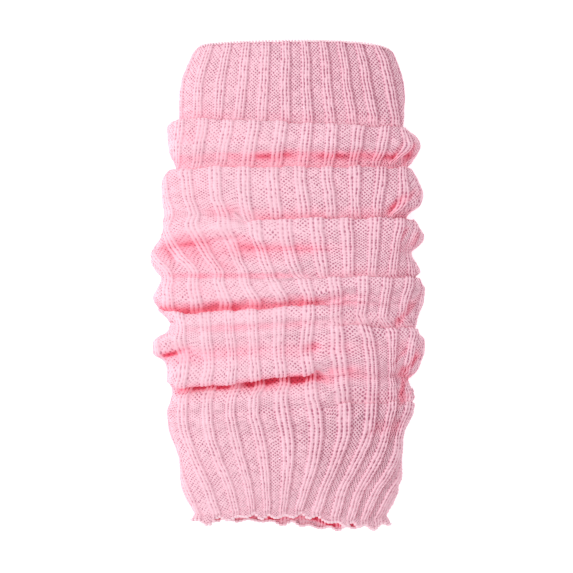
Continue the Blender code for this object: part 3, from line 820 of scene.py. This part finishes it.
def strips(starts, columns, flipped=False):
    """Quads between each closed loop of points and the next, from the number of each loop's first point."""
    starts = np.asarray(starts)[:, None]
    around = np.arange(columns)
    beside = (around + 1) % columns
    above, below = starts[:-1], starts[1:]
    quads = np.stack([above + around, below + around, below + beside, above + beside], axis=2).reshape(-1, 4)
    return quads[:, ::-1] if flipped else quads


def rim_faces(outer_start, inner_start, flipped=False):
    """Triangles between a fine loop and a plainer one."""
    inner = np.arange(INNER_COLUMNS)
    here, there = inner_start + inner, inner_start + (inner + 1) % INNER_COLUMNS
    fine = [outer_start + (inner * SAMPLES + step) % COLUMNS for step in range(SAMPLES + 1)]
    half = SAMPLES // 2
    triangles = []
    for step in range(SAMPLES):
        near = here if step < half else there
        triangles.append(np.stack([fine[step], fine[step + 1], near], axis=1))
        if step == half - 1:
            triangles.append(np.stack([fine[half], there, here], axis=1))
    triangles = np.concatenate(triangles)
    return triangles[:, ::-1] if flipped else triangles


def mesh_object(name, points, faces, attributes):
    """Object from points in millimetres, with named point attributes."""
    mesh = bpy.data.meshes.new(name)
    mesh.from_pydata((points * MM).tolist(), [], [tuple(face) for block in faces for face in block.tolist()])
    for attribute, values in attributes.items():
        kind, field = ("FLOAT_VECTOR", "vector") if values.ndim == 2 else ("FLOAT", "value")
        layer = mesh.attributes.new(attribute, kind, "POINT")
        layer.data.foreach_set(field, np.ascontiguousarray(values, np.float32).ravel())
    mesh.shade_smooth()
    return placed(name, mesh)


def knit_map(mesh, faces, wale, course):
    """UV map of wales across and courses along, unbroken where the wales start again."""
    corners = []
    for block in faces:
        across = wale[block]
        wraps = np.ptp(across, axis=1, keepdims=True) > 0.5 * WALES
        across = np.where(wraps & (across < 0.0), across + WALES, across)
        corners.append(np.stack([across, course[block]], axis=2).reshape(-1, 2))
    layer = mesh.uv_layers.new(name="knit")
    layer.uv.foreach_set("vector", np.concatenate(corners).astype(np.float32).ravel())


def sharpen_rims(mesh, rims):
    """Mark the edges along loops of points sharp, so that a rim doesn't shade the knitted face."""
    ends = np.empty(len(mesh.edges) * 2, np.int32)
    mesh.edges.foreach_get("vertices", ends)
    ends = ends.reshape(-1, 2)
    sharp = np.zeros(len(mesh.edges), bool)
    for rim in rims:
        sharp |= np.isin(ends[:, 0], rim) & np.isin(ends[:, 1], rim)
    layer = mesh.attributes.new("sharp_edge", "BOOLEAN", "EDGE")
    layer.data.foreach_set("value", sharp)


def cloth_piece(name, cloth, first, last):
    """A closed stretch of the tube between two rows: its knitted face, its inside and two rims."""
    face, ends = slice(first, last + 1), np.array((first, last))
    rows = last - first + 1
    inside = hollow_loops(cloth, first, last)
    inner_rows = len(inside)
    inner_count = inner_rows * INNER_COLUMNS
    sunk = cloth.points[ends] - cloth.outward[ends] * RIM_DEPTH
    outer_starts = np.arange(rows) * COLUMNS
    inner_starts = rows * COLUMNS + np.arange(inner_rows) * INNER_COLUMNS
    sunk_start = rows * COLUMNS + inner_count
    faces = [
        strips(outer_starts, COLUMNS),
        strips(inner_starts, INNER_COLUMNS, flipped=True),
        strips((sunk_start, 0), COLUMNS),
        strips((outer_starts[-1], sunk_start + COLUMNS), COLUMNS),
        rim_faces(sunk_start, inner_starts[0]),
        rim_faces(sunk_start + COLUMNS, inner_starts[-1], flipped=True),
    ]
    inner_wales = np.arange(INNER_COLUMNS) - BACK_RIB * WALES_PER_RIB + INSIDE_WALE_SHIFT
    inner_courses = np.linspace(cloth.course[first], cloth.course[last], inner_rows)
    wales = np.concatenate([np.tile(OUTER_WALES, rows), np.tile(inner_wales, inner_rows),
                            np.tile(OUTER_WALES, 2)])
    courses = np.concatenate([np.repeat(cloth.course[face], COLUMNS), np.repeat(inner_courses, INNER_COLUMNS),
                              np.repeat(cloth.course[ends], COLUMNS)])
    attributes = {
        "wale": wales,
        "course": courses,
        "outward": np.concatenate([ways.reshape(-1, 3) for ways in (
            cloth.outward[face], -outward_of(inside), cloth.outward[ends])]),
    }
    # Painted shade, the depth of the stitches and the painted shade in their gaps, for the face, the inside
    # and the rims
    for label, values, inner_value, rim_values in (
            ("hollow", cloth.hollow, INSIDE_PAINTED_SHADE, cloth.hollow[ends]),
            ("relief", cloth.relief, INSIDE_RELIEF, np.zeros((2, COLUMNS))),
            ("shade", cloth.shade, INSIDE_RELIEF, cloth.shade[ends])):
        attributes[label] = np.concatenate([values[face].ravel(), np.full(inner_count, inner_value),
                                            rim_values.ravel()])
    points = np.concatenate([part.reshape(-1, 3) for part in (cloth.points[face], inside, sunk)])
    piece = mesh_object(name, points, faces, attributes)
    knit_map(piece.data, faces, wales, courses)
    sharpen_rims(piece.data, [start + np.arange(COLUMNS) for start in outer_starts[[0, -1]]])
    return piece


def joined_shading(pieces, cuts):
    """Shade the knitted face across the cuts between pieces as one unbroken face."""
    grids = []
    for piece, first, last in zip(pieces, cuts[:-1], cuts[1:]):
        points = np.empty(len(piece.data.vertices) * 3, np.float32)
        piece.data.vertices.foreach_get("co", points)
        grids.append(points.reshape(-1, 3)[:(last - first + 1) * COLUMNS].reshape(-1, COLUMNS, 3))
    for number, piece in enumerate(pieces):
        grid, rows = grids[number], len(grids[number])
        before = grids[number - 1][-2] if number else 2.0 * grid[0] - grid[1]
        after = grids[number + 1][1] if number + 1 < len(pieces) else 2.0 * grid[-1] - grid[-2]
        normals = np.zeros((len(piece.data.loops), 3), np.float32)
        corners = np.empty(len(piece.data.loops), np.int32)
        piece.data.loops.foreach_get("vertex_index", corners)
        face_corners = 4 * (rows - 1) * COLUMNS
        for row, along in ((0, grid[1] - before), (rows - 1, after - grid[-2])):
            around = np.roll(grid[row], -1, axis=0) - np.roll(grid[row], 1, axis=0)
            normal = np.cross(along, around)
            normal /= np.linalg.norm(normal, axis=1, keepdims=True) + 1e-12
            own = np.flatnonzero(corners[:face_corners] // COLUMNS == row)
            normals[own] = normal[corners[own] % COLUMNS]
        piece.data.normals_split_custom_set(normals.tolist())


# ---- Node trees
class Value:
    """An output of a node, which can be reckoned with like a number."""

    def __init__(self, graph, socket):
        self.graph = graph
        self.socket = socket

    def __add__(self, other):
        return self.graph.math("ADD", self, other)

    def __sub__(self, other):
        return self.graph.math("SUBTRACT", self, other)

    def __rsub__(self, other):
        return self.graph.math("SUBTRACT", other, self)

    def __mul__(self, other):
        return self.graph.math("MULTIPLY", self, other)

    def __truediv__(self, other):
        return self.graph.math("DIVIDE", self, other)

    def __mod__(self, other):
        return self.graph.math("FLOORED_MODULO", self, other)

    def __pow__(self, other):
        return self.graph.math("POWER", self, other)

    def __abs__(self):
        return self.graph.math("ABSOLUTE", self)

    __radd__ = __add__
    __rmul__ = __mul__


class Graph:
    """A node tree with short calls for its nodes."""

    def __init__(self, tree):
        self.tree = tree

    def join(self, sources, targets):
        """Join outputs, or set plain values, to the inputs that they are listed for."""
        for label, source in sources.items():
            if isinstance(source, Value):
                self.tree.links.new(source.socket, targets[label])
            else:
                targets[label].default_value = source

    def node(self, kind, sources=None, **settings):
        """Add a node, set its properties and fill its inputs, by name or number."""
        node = self.tree.nodes.new(kind)
        for key, value in settings.items():
            setattr(node, key, value)
        self.join(sources or {}, node.inputs)
        return node

    def read(self, kind, sources=None, output=0, **settings):
        """Add a node and give one of its outputs."""
        return Value(self, self.node(kind, sources, **settings).outputs[output])

    def math(self, operation, *values, clamp=False):
        """A Math node's output."""
        return self.read("ShaderNodeMath", dict(enumerate(values)), operation=operation, use_clamp=clamp)

    def vector(self, operation, first, second, label=1):
        """A Vector Math node's output."""
        return self.read("ShaderNodeVectorMath", {0: first, label: second}, operation=operation)

    def joined(self, *parts):
        """A vector from its parts."""
        return self.read("ShaderNodeCombineXYZ", dict(enumerate(parts)))

    def parts(self, vector):
        """The three parts of a vector."""
        node = self.node("ShaderNodeSeparateXYZ", {0: vector})
        return [Value(self, output) for output in node.outputs]

    def noise(self, place, scale, detail, output="Fac"):
        """Noise at a place, from 0 to 1."""
        return self.read("ShaderNodeTexNoise", {"Vector": place, "Scale": scale, "Detail": detail}, output,
                         noise_dimensions="3D")

    def mixed(self, share, first, second, blend="MIX"):
        """A colour that goes a share of the way from the first to the second."""
        return self.read("ShaderNodeMix", {0: share, 6: first, 7: second}, 2,
                         data_type="RGBA", blend_type=blend)

    def multiplied(self, first, second):
        """The product of two colours."""
        return self.mixed(1.0, first, second, "MULTIPLY")

    def smooth_step(self, value, low, high):
        """Rise smoothly from 0 at low to 1 at high."""
        return self.read("ShaderNodeMapRange", dict(enumerate((value, low, high, 0.0, 1.0))),
                         interpolation_type="SMOOTHSTEP")

    def named(self, name, kind="FLOAT"):
        """A named attribute, in a geometry tree."""
        return self.read("GeometryNodeInputNamedAttribute", {"Name": name}, "Attribute", data_type=kind)

    def waves(self, wale, course):
        """Waves that crest between the wales, and between the courses."""
        return [self.math("COSINE", counted * (2.0 * math.pi)) for counted in (wale, course)]

    def rib_profile(self, wale, softness, ditches):
        """How far a place is part of a knit rib, and of the ditches at the right and left of the rib."""
        middle, half = 0.5 * WALES_PER_RIB, 0.25 * WALES_PER_RIB
        from_middle = abs((wale - half) % WALES_PER_RIB - middle)
        from_right = (wale + middle) % WALES_PER_RIB - middle
        from_left = wale % WALES_PER_RIB - middle
        knit = 1.0 - self.smooth_step(from_middle, half - softness, half + softness)
        right, left = (self.math("EXPONENT", (away / width) ** 2.0 * -1.0)
                       for away, width in zip((from_right, from_left), ditches))
        return knit, right, left

    def chance(self, wale, course):
        """A chance value from 0 to 1 for every stitch."""
        stitch = self.joined(self.math("FLOOR", wale + 0.5), self.math("FLOOR", course + 0.5))
        return self.read("ShaderNodeTexWhiteNoise", {"Vector": stitch}, "Value", noise_dimensions="3D")


def new_tree(name, kind, inputs, outputs):
    """Node tree with its inputs, each a kind of socket or a size, and its outputs."""
    tree = bpy.data.node_groups.new(name, kind)
    for label, what in inputs.items():
        is_size = isinstance(what, float)
        socket = tree.interface.new_socket(
            label, in_out="INPUT", socket_type="NodeSocketFloat" if is_size else "NodeSocket" + what)
        if is_size:
            socket.default_value = what
    for label, what in outputs.items():
        tree.interface.new_socket(label, in_out="OUTPUT", socket_type="NodeSocket" + what)
    graph = Graph(tree)
    given = {socket.name: Value(graph, socket) for socket in graph.node("NodeGroupInput").outputs}
    return graph, given, graph.node("NodeGroupOutput").inputs


def finish_tree(graph, geometry, material, result):
    """End a tree: instances made real, and the material set."""
    real = graph.read("GeometryNodeRealizeInstances", {0: geometry})
    graph.join({"Geometry": graph.read("GeometryNodeSetMaterial", {"Geometry": real, "Material": material})},
               result)
    return graph.tree


def knitting_tree():
    """Raise ribs and stitches from the cloth's form, counted in wales and courses."""
    graph, given, result = new_tree("rib_knitting", "GeometryNodeTree", {
        "Geometry": "Geometry",
        "Rib Depth": 0.62 * MM,
        "Rib Edge Depth": 0.44 * MM,
        "Knit Stitch Height": 0.65 * MM,
        "Purl Stitch Height": 0.78 * MM,
        "Unevenness": 0.5,
        "Wander": 1.1 * MM,
        "Rest Height": 0.05 * MM,
        "Material": "Material",
    }, {"Geometry": "Geometry"})
    wale, course = graph.named("wale"), graph.named("course")
    knit, right_ditch, left_ditch = graph.rib_profile(wale, 0.35, (0.42, 0.42))

    # Knit wales are smooth ridges that swell a little at each stitch. Purl stitches are
    # bumps that lie staggered, with a small pit between every four
    wale_wave, course_wave = graph.waves(wale, course)
    knit_height = (0.5 - wale_wave * 0.5) * (0.84 - course_wave * 0.16)
    purl_height = 0.5 - wale_wave * course_wave * 0.5
    body = (knit - 0.5) * given["Rib Depth"]
    ditches = (right_ditch + left_ditch * 0.4) * given["Rib Edge Depth"]
    knit_part = (knit_height - 0.5) * given["Knit Stitch Height"] * knit
    purl_part = (purl_height - 0.5) * given["Purl Stitch Height"] * (1.0 - knit)

    # Every stitch pulls a little more or less than its neighbours
    pull = 1.0 + (graph.chance(wale, course) - 0.5) * given["Unevenness"]
    height = (body - ditches + (knit_part + purl_part) * pull) * graph.named("relief")
    raised = graph.vector("SCALE", graph.named("outward", "FLOAT_VECTOR"), height, "Scale")

    # The wales wander a little from side to side
    place = graph.read("GeometryNodeInputPosition")
    centred = graph.vector("SUBTRACT", graph.noise(place, 190.0, 2.0, "Color"), (0.5, 0.5, 0.5))
    sway = graph.vector("SCALE", centred, given["Wander"], "Scale")
    moved = graph.vector("ADD", place, graph.vector("ADD", raised, sway))

    # Stitches that would sink into what the cloth lies on are pressed flat
    x, y, z = graph.parts(moved)
    rested = graph.joined(x, y, graph.math("MAXIMUM", z, given["Rest Height"]))
    knitted = graph.read("GeometryNodeSetPosition", {"Geometry": given["Geometry"], "Position": rested})
    return finish_tree(graph, knitted, given["Material"], result)


def edge_loops_tree():
    """A loop of yarn over the cloth's edge at each point of the given mesh."""
    graph, given, result = new_tree("edge_loops", "GeometryNodeTree", {
        "Geometry": "Geometry",
        "Loop Radius": 1.0 * MM,
        "Yarn Radius": 0.5 * MM,
        "Loop Turn": math.radians(215.0),
        "Material": "Material",
    }, {"Geometry": "Geometry"})
    arc = graph.read("GeometryNodeCurveArc", {
        "Resolution": 9, "Radius": given["Loop Radius"], "Sweep Angle": given["Loop Turn"],
        "Start Angle": given["Loop Turn"] * -0.5}, "Curve")
    yarn = graph.read("GeometryNodeCurvePrimitiveCircle", {"Resolution": 7, "Radius": given["Yarn Radius"]},
                      "Curve")
    tube = graph.read("GeometryNodeCurveToMesh", {"Curve": arc, "Profile Curve": yarn, "Fill Caps": True})
    copies = graph.read("GeometryNodeInstanceOnPoints", {
        "Points": graph.read("GeometryNodeMeshToPoints", {"Mesh": given["Geometry"]}),
        "Instance": graph.read("GeometryNodeSetShadeSmooth", {"Geometry": tube}),
        "Rotation": graph.named("turn", "FLOAT_VECTOR"),
        "Scale": graph.named("size", "FLOAT_VECTOR")})
    return finish_tree(graph, copies, given["Material"], result)


def baked(thing, tree, values):
    """Run a tree on an object with the given inputs and keep the result as a plain mesh."""
    modifier = thing.modifiers.new("made", "NODES")
    modifier.node_group = tree
    sockets = {item.name: item.identifier for item in tree.interface.items_tree if item.in_out == "INPUT"}
    for label, value in values.items():
        modifier[sockets[label]] = value
    evaluated = thing.evaluated_get(bpy.context.evaluated_depsgraph_get())
    mesh = bpy.data.meshes.new_from_object(evaluated)
    mesh.name = thing.name
    thing.modifiers.remove(modifier)
    thing.data = mesh
    return thing


# ---- Edges
def level_outward(cloth, row):
    """Unit vectors out of the tube at one of its ends, square to its length."""
    out = cloth.outward[row] * (1.0, 0.0, 1.0)
    return out / np.linalg.norm(out, axis=1, keepdims=True)


def edge_loops(name, places, way, outward, size, tree, values):
    """Loops of yarn over an edge, one to a wale: each reaches its way along the tube, from face to face."""
    ahead = np.array((0.0, way, 0.0))
    turns = [tuple(Matrix(np.stack([ahead, out, np.cross(ahead, out)], axis=1).tolist()).to_euler())
             for out in outward]
    reach = (values["Loop Radius"] + values["Yarn Radius"]) / MM
    places = np.column_stack([places[:, :2], np.maximum(places[:, 2], reach + LEAST_HEIGHT)])
    # the loops take no painted shade
    points = mesh_object(name, places, [], {"turn": np.array(turns), "size": np.tile(size, (len(places), 1)),
                                            "hollow": np.zeros(len(places))})
    return baked(points, tree, values)


def cast_on_edge(cloth, tree, material):
    """A loop of yarn over the top edge at every wale."""
    out = level_outward(cloth, 0)[PICKED]
    places = cloth.points[0][PICKED] - out * CAST_ON_DEPTH
    return edge_loops("cast_on_edge", places, 1.0, out, CAST_ON_SIZE, tree, {
        "Loop Radius": 0.75 * MM, "Yarn Radius": 0.46 * MM, "Material": material})


def hem_loops(lines, out, tree, material):
    """Small bound-off loops along the frill's edge, one to a wale."""
    return edge_loops("hem_edge_loops", lines[-1][PICKED], -1.0, out[PICKED], HEM_LOOP_SIZE, tree, {
        "Loop Radius": 0.74 * MM, "Yarn Radius": 0.52 * MM, "Material": material})


def frill_lines(cloth):
    """Middle line of the frill from the hem's end to its edge, and the way out of it."""
    start, out = cloth.points[-1], level_outward(cloth, -1)
    x = start[:, 0]
    rise = ramp(start[:, 2] - FLOOR, END_ROOF - FLOOR - 2.0)
    turn = 2.0 * math.pi * (np.arange(COLUMNS) / SAMPLES) / WALES_PER_RIB
    uneven = 1.0 + 0.5 * np.sin(0.37 * turn + 1.0)
    edge = mix(read_table(FRILL_BACK, x), read_table(FRILL_FRONT, x), rise) + EDGE_LOOP_REACH
    edge = edge + SCALLOP_DEPTH * uneven * np.cos(turn + 0.8)
    side = ramp(np.abs(x - FRILL_MIDDLE) - FRILL_SIDE_FROM, FRILL_SIDE_RUN)
    flare = mix(FRILL_FLARE, FRILL_SIDE_FLARE, side)
    wave = FRILL_WAVE * uneven * np.sin(turn - 0.6)
    lines = []
    for share in np.linspace(0.0, 1.0, FRILL_ROWS):
        reach = flare * share ** mix(1.5, 0.7, side) + wave * share ** 2 - 0.5 * FRILL_THICK - FRILL_INSET
        place = start + out * reach[:, None]
        place[:, 1] = mix(start[:, 1] + FRILL_TUCK, edge, share)
        place[:, 2] = np.maximum(place[:, 2], 0.5 * FRILL_THICK + LEAST_HEIGHT)
        lines.append(place)
    return lines, out


def frill_piece(cloth, lines, out):
    """The frilled hem: an outer face, a rounded edge and an inner face, closed."""
    half = 0.5 * FRILL_THICK
    rows, count = len(lines), 2 * len(lines) + 1
    outer = [line + out * half for line in lines[:-1]] + [lines[-1] + out * half * EDGE_TAPER]
    inner = [line - out * half for line in lines[:-1]] + [lines[-1] - out * half * EDGE_TAPER]
    tip = lines[-1] + np.array((0.0, -FRILL_TIP, 0.0))
    points = np.stack([*outer, tip, *inner[::-1]])
    points[..., 2] = np.maximum(points[..., 2], LEAST_HEIGHT)
    inside = np.arange(count) > rows
    ways = np.where(inside, -1.0, 1.0)[:, None, None] * out[None, :, :]
    ways[rows] = (0.0, -1.0, 0.0)

    # Painted shade deep inside, and where the back shows below the front's edge
    deep = np.linspace(1.0, 0.0, rows) ** 0.6
    hollow = np.concatenate([0.10 * deep, [0.0], FRILL_INSIDE_SHADE * deep[::-1] ** 4])
    past = points[..., 1] - read_table(FRILL_FRONT, points[..., 0])
    under = ramp(past + FRILL_SHADE_REACH, FRILL_SHADE_RUN) * inside[:, None]
    under = under * (points[..., 2] < HOLLOW_FLOOR + 2.0)
    hollow = np.maximum(hollow[:, None], FRILL_INSIDE_SHADE * under)

    down = np.linspace(0.0, FRILL_COURSES, rows)
    course = cloth.course[-1] - 0.5 + np.concatenate([down, [FRILL_COURSES + 0.25], down[::-1]])
    courses = np.repeat(course, COLUMNS)
    wales = (OUTER_WALES[None, :] + np.where(inside, INSIDE_WALE_SHIFT, 0.0)[:, None]).ravel()
    quads = strips(np.append(np.arange(count), 0) * COLUMNS, COLUMNS)
    piece = mesh_object("hem_frill_edge", points.reshape(-1, 3), [quads], {
        "wale": wales, "course": courses, "outward": ways.reshape(-1, 3), "hollow": hollow.ravel(),
        "relief": np.full(len(courses), FRILL_RELIEF), "shade": np.full(len(courses), FRILL_SHADE)})
    knit_map(piece.data, [quads], wales, courses)
    return piece


# ---- Materials
def linear(red, green, blue):
    """Linear colour from the usual 0 to 255 values."""
    shares = (value / 255.0 for value in (red, green, blue))
    return (*(share / 12.92 if share <= 0.04045 else ((share + 0.055) / 1.055) ** 2.4
              for share in shares), 1.0)


PINK = linear(253, 208, 221)
WORN = linear(241, 179, 195)
# Painted shade: the colour deep in a fold, the darker red deep in a crease, and the darkening in the gaps
# between stitches
PINK_IN_SHADE = linear(247, 116, 142)
CREASE_SHADE = (0.82, 0.27, 0.37, 1.0)
GAP_SHADE = (0.56, 0.29, 0.39, 1.0)
PALE_KNIT = linear(243, 200, 212)
PALE_EDGE = linear(247, 213, 223)
BLACK, WHITE = (0.0, 0.0, 0.0, 1.0), (1.0, 1.0, 1.0, 1.0)
FOLD_GLOW = (0.09, 0.06, 0.07, 1.0)  # painted light: a glow for the light that comes through the cloth into a fold
RIGHT_EDGE_SHADE = 0.48
LEFT_EDGE_SHADE = 0.25
GAP_STRENGTH = 0.83
SOFT_YARN = {
    "Roughness": 0.95, "Specular IOR Level": 0.15, "Sheen Weight": 0.15, "Sheen Roughness": 0.6,
    "Sheen Tint": (1.0, 0.86, 0.90, 1.0), "Emission Strength": 1.0,
}


def soft_yarn_group():
    """Shader group: pale uneven yarn colour with painted shade in folds, creases and the gaps between
    stitches, a painted glow in folds, and the height of its fine fibres.
    """
    graph, given, result = new_tree(
        "soft_yarn", "ShaderNodeTree",
        {"Yarn": "Color", "Worn": "Color", "Shade Colour": "Color", "Hollow": 0.0, "Gap": 0.0},
        {"Colour": "Color", "Glow": "Color", "Fibres": "Float"})
    place = graph.read("ShaderNodeTexCoord", output="Object")
    flecks = graph.smooth_step(graph.noise(place, 900.0, 3.0), 0.42, 0.72) * 0.30
    patches = graph.smooth_step(graph.noise(place, 60.0, 2.0), 0.40, 0.70) * 0.22
    colour = graph.mixed(graph.math("MAXIMUM", flecks, patches), given["Yarn"], given["Worn"])
    # Painted shade: the colour deepens in a fold, darkens more in a deep crease, and darkens in the gaps
    # between stitches
    colour = graph.mixed(graph.math("MULTIPLY", given["Hollow"], 0.5, clamp=True), colour, given["Shade Colour"])
    dark = graph.smooth_step(given["Hollow"], 1.0, 1.9) * 0.8
    colour = graph.mixed(dark, colour, graph.multiplied(colour, CREASE_SHADE))
    colour = graph.mixed(given["Gap"], colour, graph.multiplied(colour, GAP_SHADE))
    # Painted light: a glow in a fold stands in for the light that comes through the cloth
    into_fold = graph.math("MULTIPLY", given["Hollow"], 2.0, clamp=True)
    into_fold = graph.math("MULTIPLY", into_fold, 1.0 - dark, clamp=True)
    through = graph.mixed(into_fold, BLACK, FOLD_GLOW)
    graph.join({"Colour": colour, "Glow": graph.multiplied(through, colour),
                "Fibres": graph.noise(place, 2600.0, 4.0)}, result)
    return graph.tree


def new_material(name):
    """Material, with the graph of its nodes and its shader's inputs."""
    material = bpy.data.materials.new(name)
    material.use_nodes = True
    return material, Graph(material.node_tree), material.node_tree.nodes["Principled BSDF"].inputs


def yarn_material(name, group, yarn, stitches_of):
    """Matt, slightly hairy yarn.

    stitches_of gives how deep a point lies between the stitches, which sets its
    painted shade, its height, and how much of a fold's painted shade it takes.
    """
    material, graph, shader = new_material(name)
    gap, height, shelter = stitches_of(graph)
    # how much of a fold's painted shade lies on this point
    hollow = graph.read("ShaderNodeAttribute", output="Fac", attribute_name="hollow")
    look = graph.node("ShaderNodeGroup", node_tree=group)
    graph.join({"Yarn": yarn, "Worn": WORN, "Shade Colour": PINK_IN_SHADE, "Gap": gap, "Hollow": hollow * shelter},
               look.inputs)
    colour, glow, fibres = (Value(graph, look.outputs[label]) for label in ("Colour", "Glow", "Fibres"))
    bump = graph.read("ShaderNodeBump", {
        "Strength": 0.5, "Distance": 0.25 * MM, "Height": fibres * 0.5 + height}, "Normal")
    graph.join({**SOFT_YARN, "Base Color": colour, "Emission Color": glow, "Normal": bump}, shader)
    material.cycles.emission_sampling = "NONE"
    return material


def rib_stitches(graph):
    """Painted shade in the gaps between the rib's stitches, their heights, and how much of a fold's painted
    shade they take, read from the map of wales and courses.
    """
    place = graph.read("ShaderNodeTexCoord", output="Object")
    wale, course, _ = graph.parts(graph.read("ShaderNodeUVMap", uv_map="knit"))
    wale = wale + (graph.noise(place, 260.0, 2.0) - 0.5) * 0.5
    course = course + (graph.noise(place, 330.0, 1.0) - 0.5) * 0.9
    knit, right, left = graph.rib_profile(wale, 0.2, (0.40, 0.35))
    wale_wave, course_wave = graph.waves(wale, course)

    # Painted shade in pits between the purl bumps, and in dotted lines between the knit wales, which also
    # sink a little in the bump
    pits = graph.math("MAXIMUM", wale_wave * course_wave, 0.0) ** 1.1
    line = (0.5 + wale_wave * 0.5) ** 2.6
    dots = line * (0.58 + course_wave * 0.36)
    edges = right * RIGHT_EDGE_SHADE + left * LEFT_EDGE_SHADE
    beaded = edges * (0.72 + course_wave * 0.28)
    stitches = dots * knit + pits * ((1.0 - knit) * 1.25)
    uneven = 0.35 + graph.chance(wale, course) * 1.15
    strength = graph.read("ShaderNodeAttribute", output="Fac", attribute_name="shade")
    shade = graph.math("MAXIMUM", stitches * uneven, beaded) * GAP_STRENGTH
    gap = graph.math("MULTIPLY", shade, strength, clamp=True)

    # The two legs of each knit stitch slant up from the middle of its wale
    across = abs(graph.math("FRACT", wale) - 0.5)
    legs = graph.math("COSINE", (course - across) * (2.0 * math.pi))
    height = legs * knit * 0.35 + gap * -0.8

    # Raised knit wales catch the light inside a fold and take less of its painted shade, which comes and goes
    # along it
    drift = 0.45 + graph.smooth_step(graph.noise(place, 55.0, 1.0), 0.30, 0.65) * 0.75
    shelter = drift * (1.0 - (1.0 - line) * (knit * 0.50))
    return gap, height, shelter


def plain_loops(_):
    """Loops of yarn with nothing between them."""
    return 0.0, 0.0, 1.0


# ---- Stage
FLOOR_REACH = 3.0
FLOOR_GLOW = 0.44  # the floor is lit a little from below like a light table
FLOOR_LOOK = {
    "Base Color": (0.93, 0.93, 0.93, 1.0), "Roughness": 0.9, "Specular IOR Level": 0.1,
    "Emission Color": WHITE, "Emission Strength": FLOOR_GLOW,
}
KEY_PLACE = (-0.84, 0.14, 0.58)  # soft light from the upper left
KEY_SIZE = 0.45
KEY_POWER = 3.9
FILL = 0.885  # strong even light from all round
CAMERA_PLACE = (-0.0006, -0.0007, 1.40)
VIEW_WIDTH = 0.31515  # the picture is this wide at the height below
VIEW_HEIGHT = 0.012
SENSOR = 36.0


def stage_floor():
    """Plain pale floor."""
    mesh = bpy.data.meshes.new("floor")
    corners = ((-1, -1), (1, -1), (1, 1), (-1, 1))
    mesh.from_pydata([(x * FLOOR_REACH, y * FLOOR_REACH, 0.0) for x, y in corners], [], [(0, 1, 2, 3)])
    floor = placed("floor", mesh)
    material, graph, shader = new_material("pale_floor")
    graph.join(FLOOR_LOOK, shader)
    mesh.materials.append(material)


def studio():
    """One soft light and a strong even fill."""
    data = bpy.data.lights.new("key", "AREA")
    data.shape = "SQUARE"
    data.size = KEY_SIZE
    data.energy = KEY_POWER
    light = placed("key", data)
    light.location = KEY_PLACE
    light.rotation_euler = Vector(KEY_PLACE).to_track_quat("Z", "Y").to_euler()
    scene = bpy.context.scene
    scene.world = bpy.data.worlds.new("studio")
    scene.world.use_nodes = True
    Graph(scene.world.node_tree).join({"Color": WHITE, "Strength": FILL},
                                      scene.world.node_tree.nodes["Background"].inputs)
    scene.view_settings.view_transform = "Standard"
    scene.view_settings.look = "None"
    scene.cycles.diffuse_bounces = 8


def overhead_camera():
    """Camera that looks straight down, with the tube's length up the picture."""
    data = bpy.data.cameras.new("camera")
    data.sensor_width = SENSOR
    data.lens = SENSOR * (CAMERA_PLACE[2] - VIEW_HEIGHT) / VIEW_WIDTH
    camera = placed("camera", data)
    camera.location = CAMERA_PLACE
    bpy.context.scene.camera = camera


# ---- Build
CLOTHS = ("top_cuff_cloth", "upper_rolls_cloth", "third_roll_cloth", "lower_rolls_cloth", "bottom_cuff_cloth")
CUT_FOLDS = ("first_roll", "third_roll", "fourth_roll", "sixth_roll")  # the cloths meet in these tucks


def finished(piece, node):
    """Put a piece on the body, in place of a plain solid."""
    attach(piece, "root")
    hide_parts(node)
    return piece


def main():
    """Make every piece, then the stage."""
    yarn = soft_yarn_group()
    knit = yarn_material("pink_rib_knit", yarn, PINK, rib_stitches)
    tree = knitting_tree()
    cloth = knitted_cloth()
    cuts = [0, *(cloth.splits[fold] for fold in CUT_FOLDS), len(cloth.course) - 1]
    stretches = list(zip(CLOTHS, cuts[:-1], cuts[1:]))
    pieces = []
    for name, first, last in stretches:
        piece = baked(cloth_piece(name, cloth, first, last), tree, {"Material": knit})
        pieces.append(finished(piece, "ribbed_tube"))
    joined_shading(pieces, cuts)

    loops = edge_loops_tree()
    edge_yarn = yarn_material("pale_edge_yarn", yarn, PALE_EDGE, plain_loops)
    lines, out = frill_lines(cloth)
    cast_on = finished(cast_on_edge(cloth, loops, edge_yarn), "top_cast_on")
    edge_knit = yarn_material("pale_edge_knit", yarn, PALE_KNIT, rib_stitches)
    frill = baked(frill_piece(cloth, lines, out), tree, {
        "Material": edge_knit, "Rib Depth": 0.4 * MM, "Rib Edge Depth": 0.3 * MM})
    finished(frill, "hem_frill")
    bound_off = finished(hem_loops(lines, out, loops, edge_yarn), "hem_frill")

    for piece, (name, first, last) in zip(pieces, stretches):
        height = (cloth.course[last] - cloth.course[first]) * COURSE
        height * MM
    stage_floor()
    studio()
    overhead_camera()


main()
